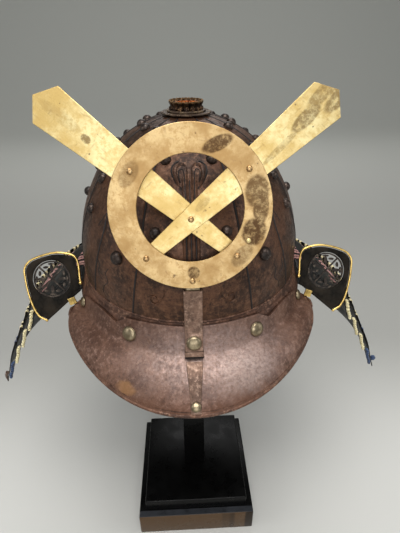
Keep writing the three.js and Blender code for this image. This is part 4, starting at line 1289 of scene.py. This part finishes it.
def reach_to_edge(angle):
    """How far the wing's outline is from the window's middle at an angle."""
    toward = Vector((cos(angle), sin(angle)))
    reach = 0.0
    for a, b in zip(wing_outline, wing_outline[1:] + wing_outline[:1]):
        side = b - a
        slant = toward.cross(side)
        if abs(slant) > 1e-9:
            away, share = (a - window_middle).cross(side) / slant, (a - window_middle).cross(toward) / slant
            if away > 0 and -1e-6 <= share <= 1 + 1e-6:
                reach = max(reach, away)
    return reach


def on_wing(side, flat, out=0.0):
    """A flat point of a wing stood up in its place, at a height over the front face."""
    return wing_stand @ Vector((side * flat.x, flat.y, wing_thick + out))


def leather_wing(side):
    """The wing's plate, a little dished between window and edge, with its leather drawn round the fold."""

    def wing_skin(u, v):
        turn = 2 * pi * u * side
        reach = window_radius + (reach_to_edge(turn) - window_radius) * v
        return on_wing(side, window_middle + Vector((cos(turn), sin(turn))) * reach, 0.7 * mm * sin(pi * v))

    shape = placed_grid(180, 12, wing_skin)
    weld(shape)
    face_towards(shape, frontward)
    thicken(shape, wing_thick)
    round_edges(shape, 0.5 * mm)
    fold = [on_wing(side, wing_root.lerp(wing_end, k / 12), -wing_thick / 2) for k in range(13)]
    add_sweep(shape, fold, round_section(1.5 * mm, 10), frontward)
    return shape


rim_radius, rim_start = 1.15 * mm, Vector((114.3, 36)) * mm


def wing_rim(side):
    """A round gilt rod along the free edges, with a bead at each end."""
    free = [rim_start, *wing_outline[1:]]
    path = []
    for before, spot, after in zip(free[:1] + free, free, free[1:] + free[-1:]):
        along = after - before
        out = Vector((-along.y, along.x)).normalized() * (rim_radius + 0.5 * mm)
        path.append(on_wing(side, spot + out, -wing_thick / 2))
    shape = add_sweep(bmesh.new(), path, round_section(rim_radius, 12), frontward)
    for spot, radius in ((path[0], 1.9 * mm), (path[-1], 1.5 * mm)):
        place = Matrix.Translation(spot)
        bmesh.ops.create_uvsphere(shape, u_segments=16, v_segments=10, radius=radius, matrix=place)
    return shape


fret_thick, fret_wide = 1.4 * mm, 1.5 * mm
hoop_radius, bar_half = window_radius - 0.4 * mm, window_radius - 1.2 * mm
leaves = ((10.6, 0, 0, 8.4, 3.6), (15.4, 0, 90, 7, 2.4), (13.4, 26, 70, 5.4, 2.6), (13.4, -26, 110, 5.4, 2.6))


def turned_out(turn, reach):
    """The place at a turn round the window's middle and a reach from it, half way through the sheet."""
    return Matrix.Rotation(radians(turn), 4, "Z") @ Matrix.Translation((reach, 0, fret_thick / 2))


def openwork(side):
    """Sheet iron sawn to a hoop, two crossed bars, and four little pointed leaves in each space between."""
    shape = ring_plate(0, fret_thick, hoop_radius, hoop_radius - fret_wide, 48)
    for turn in (45, 135):
        size = Matrix.Diagonal((2 * bar_half, fret_wide, fret_thick, 1.0))
        bmesh.ops.create_cube(shape, size=1.0, matrix=turned_out(turn, 0) @ size)
    for quarter in (0, 90, 180, 270):
        for reach, turn, point, long, wide in leaves:
            size = Matrix.Diagonal((long * mm / 2, wide * mm / 2, 1.0, 1.0))
            leaf = turned_out(quarter + turn, reach * mm) @ Matrix.Rotation(radians(point), 4, "Z") @ size
            bmesh.ops.create_cone(
                shape, segments=8, radius1=1.0, radius2=1.0, depth=fret_thick, cap_ends=True, matrix=leaf
            )
    window = Matrix.Translation((side * window_middle.x, window_middle.y, (wing_thick - fret_thick) / 2))
    shape.transform(wing_stand @ window)
    return shape


tab_spots = ((114.5, -57.5, 392), (118, -57, 390.3), (121.5, -56, 388.4))


def fold_tab(side):
    """A gilt tongue of the turned-back end, which shows between the wing's fold and the visor's lobe."""
    path = smooth_path([Vector((side * x, y, z)) * mm for x, y, z in tab_spots], 5)
    return add_sweep(bmesh.new(), path, flat_section(7 * mm, 1.2 * mm, 0.4 * mm, 2), Vector((0, -1, 0.4)))


for name, side in hands:
    piece(f"leather_wing_{name}", leather_wing(side), wing_leather, "wing_leather", f"fukigaeshi_{name}")
    piece(f"gilt_rim_{name}", wing_rim(side), rim_gilt, "gilt_rim", f"fukigaeshi_rim_{name}")
    window_node = f"fukigaeshi_openwork_{name}"
    piece(f"iron_openwork_{name}", openwork(side), openwork_iron, "openwork_iron", window_node, crease=30)
    piece(f"gilt_fold_{name}", fold_tab(side), rim_gilt, "gilt_rim")
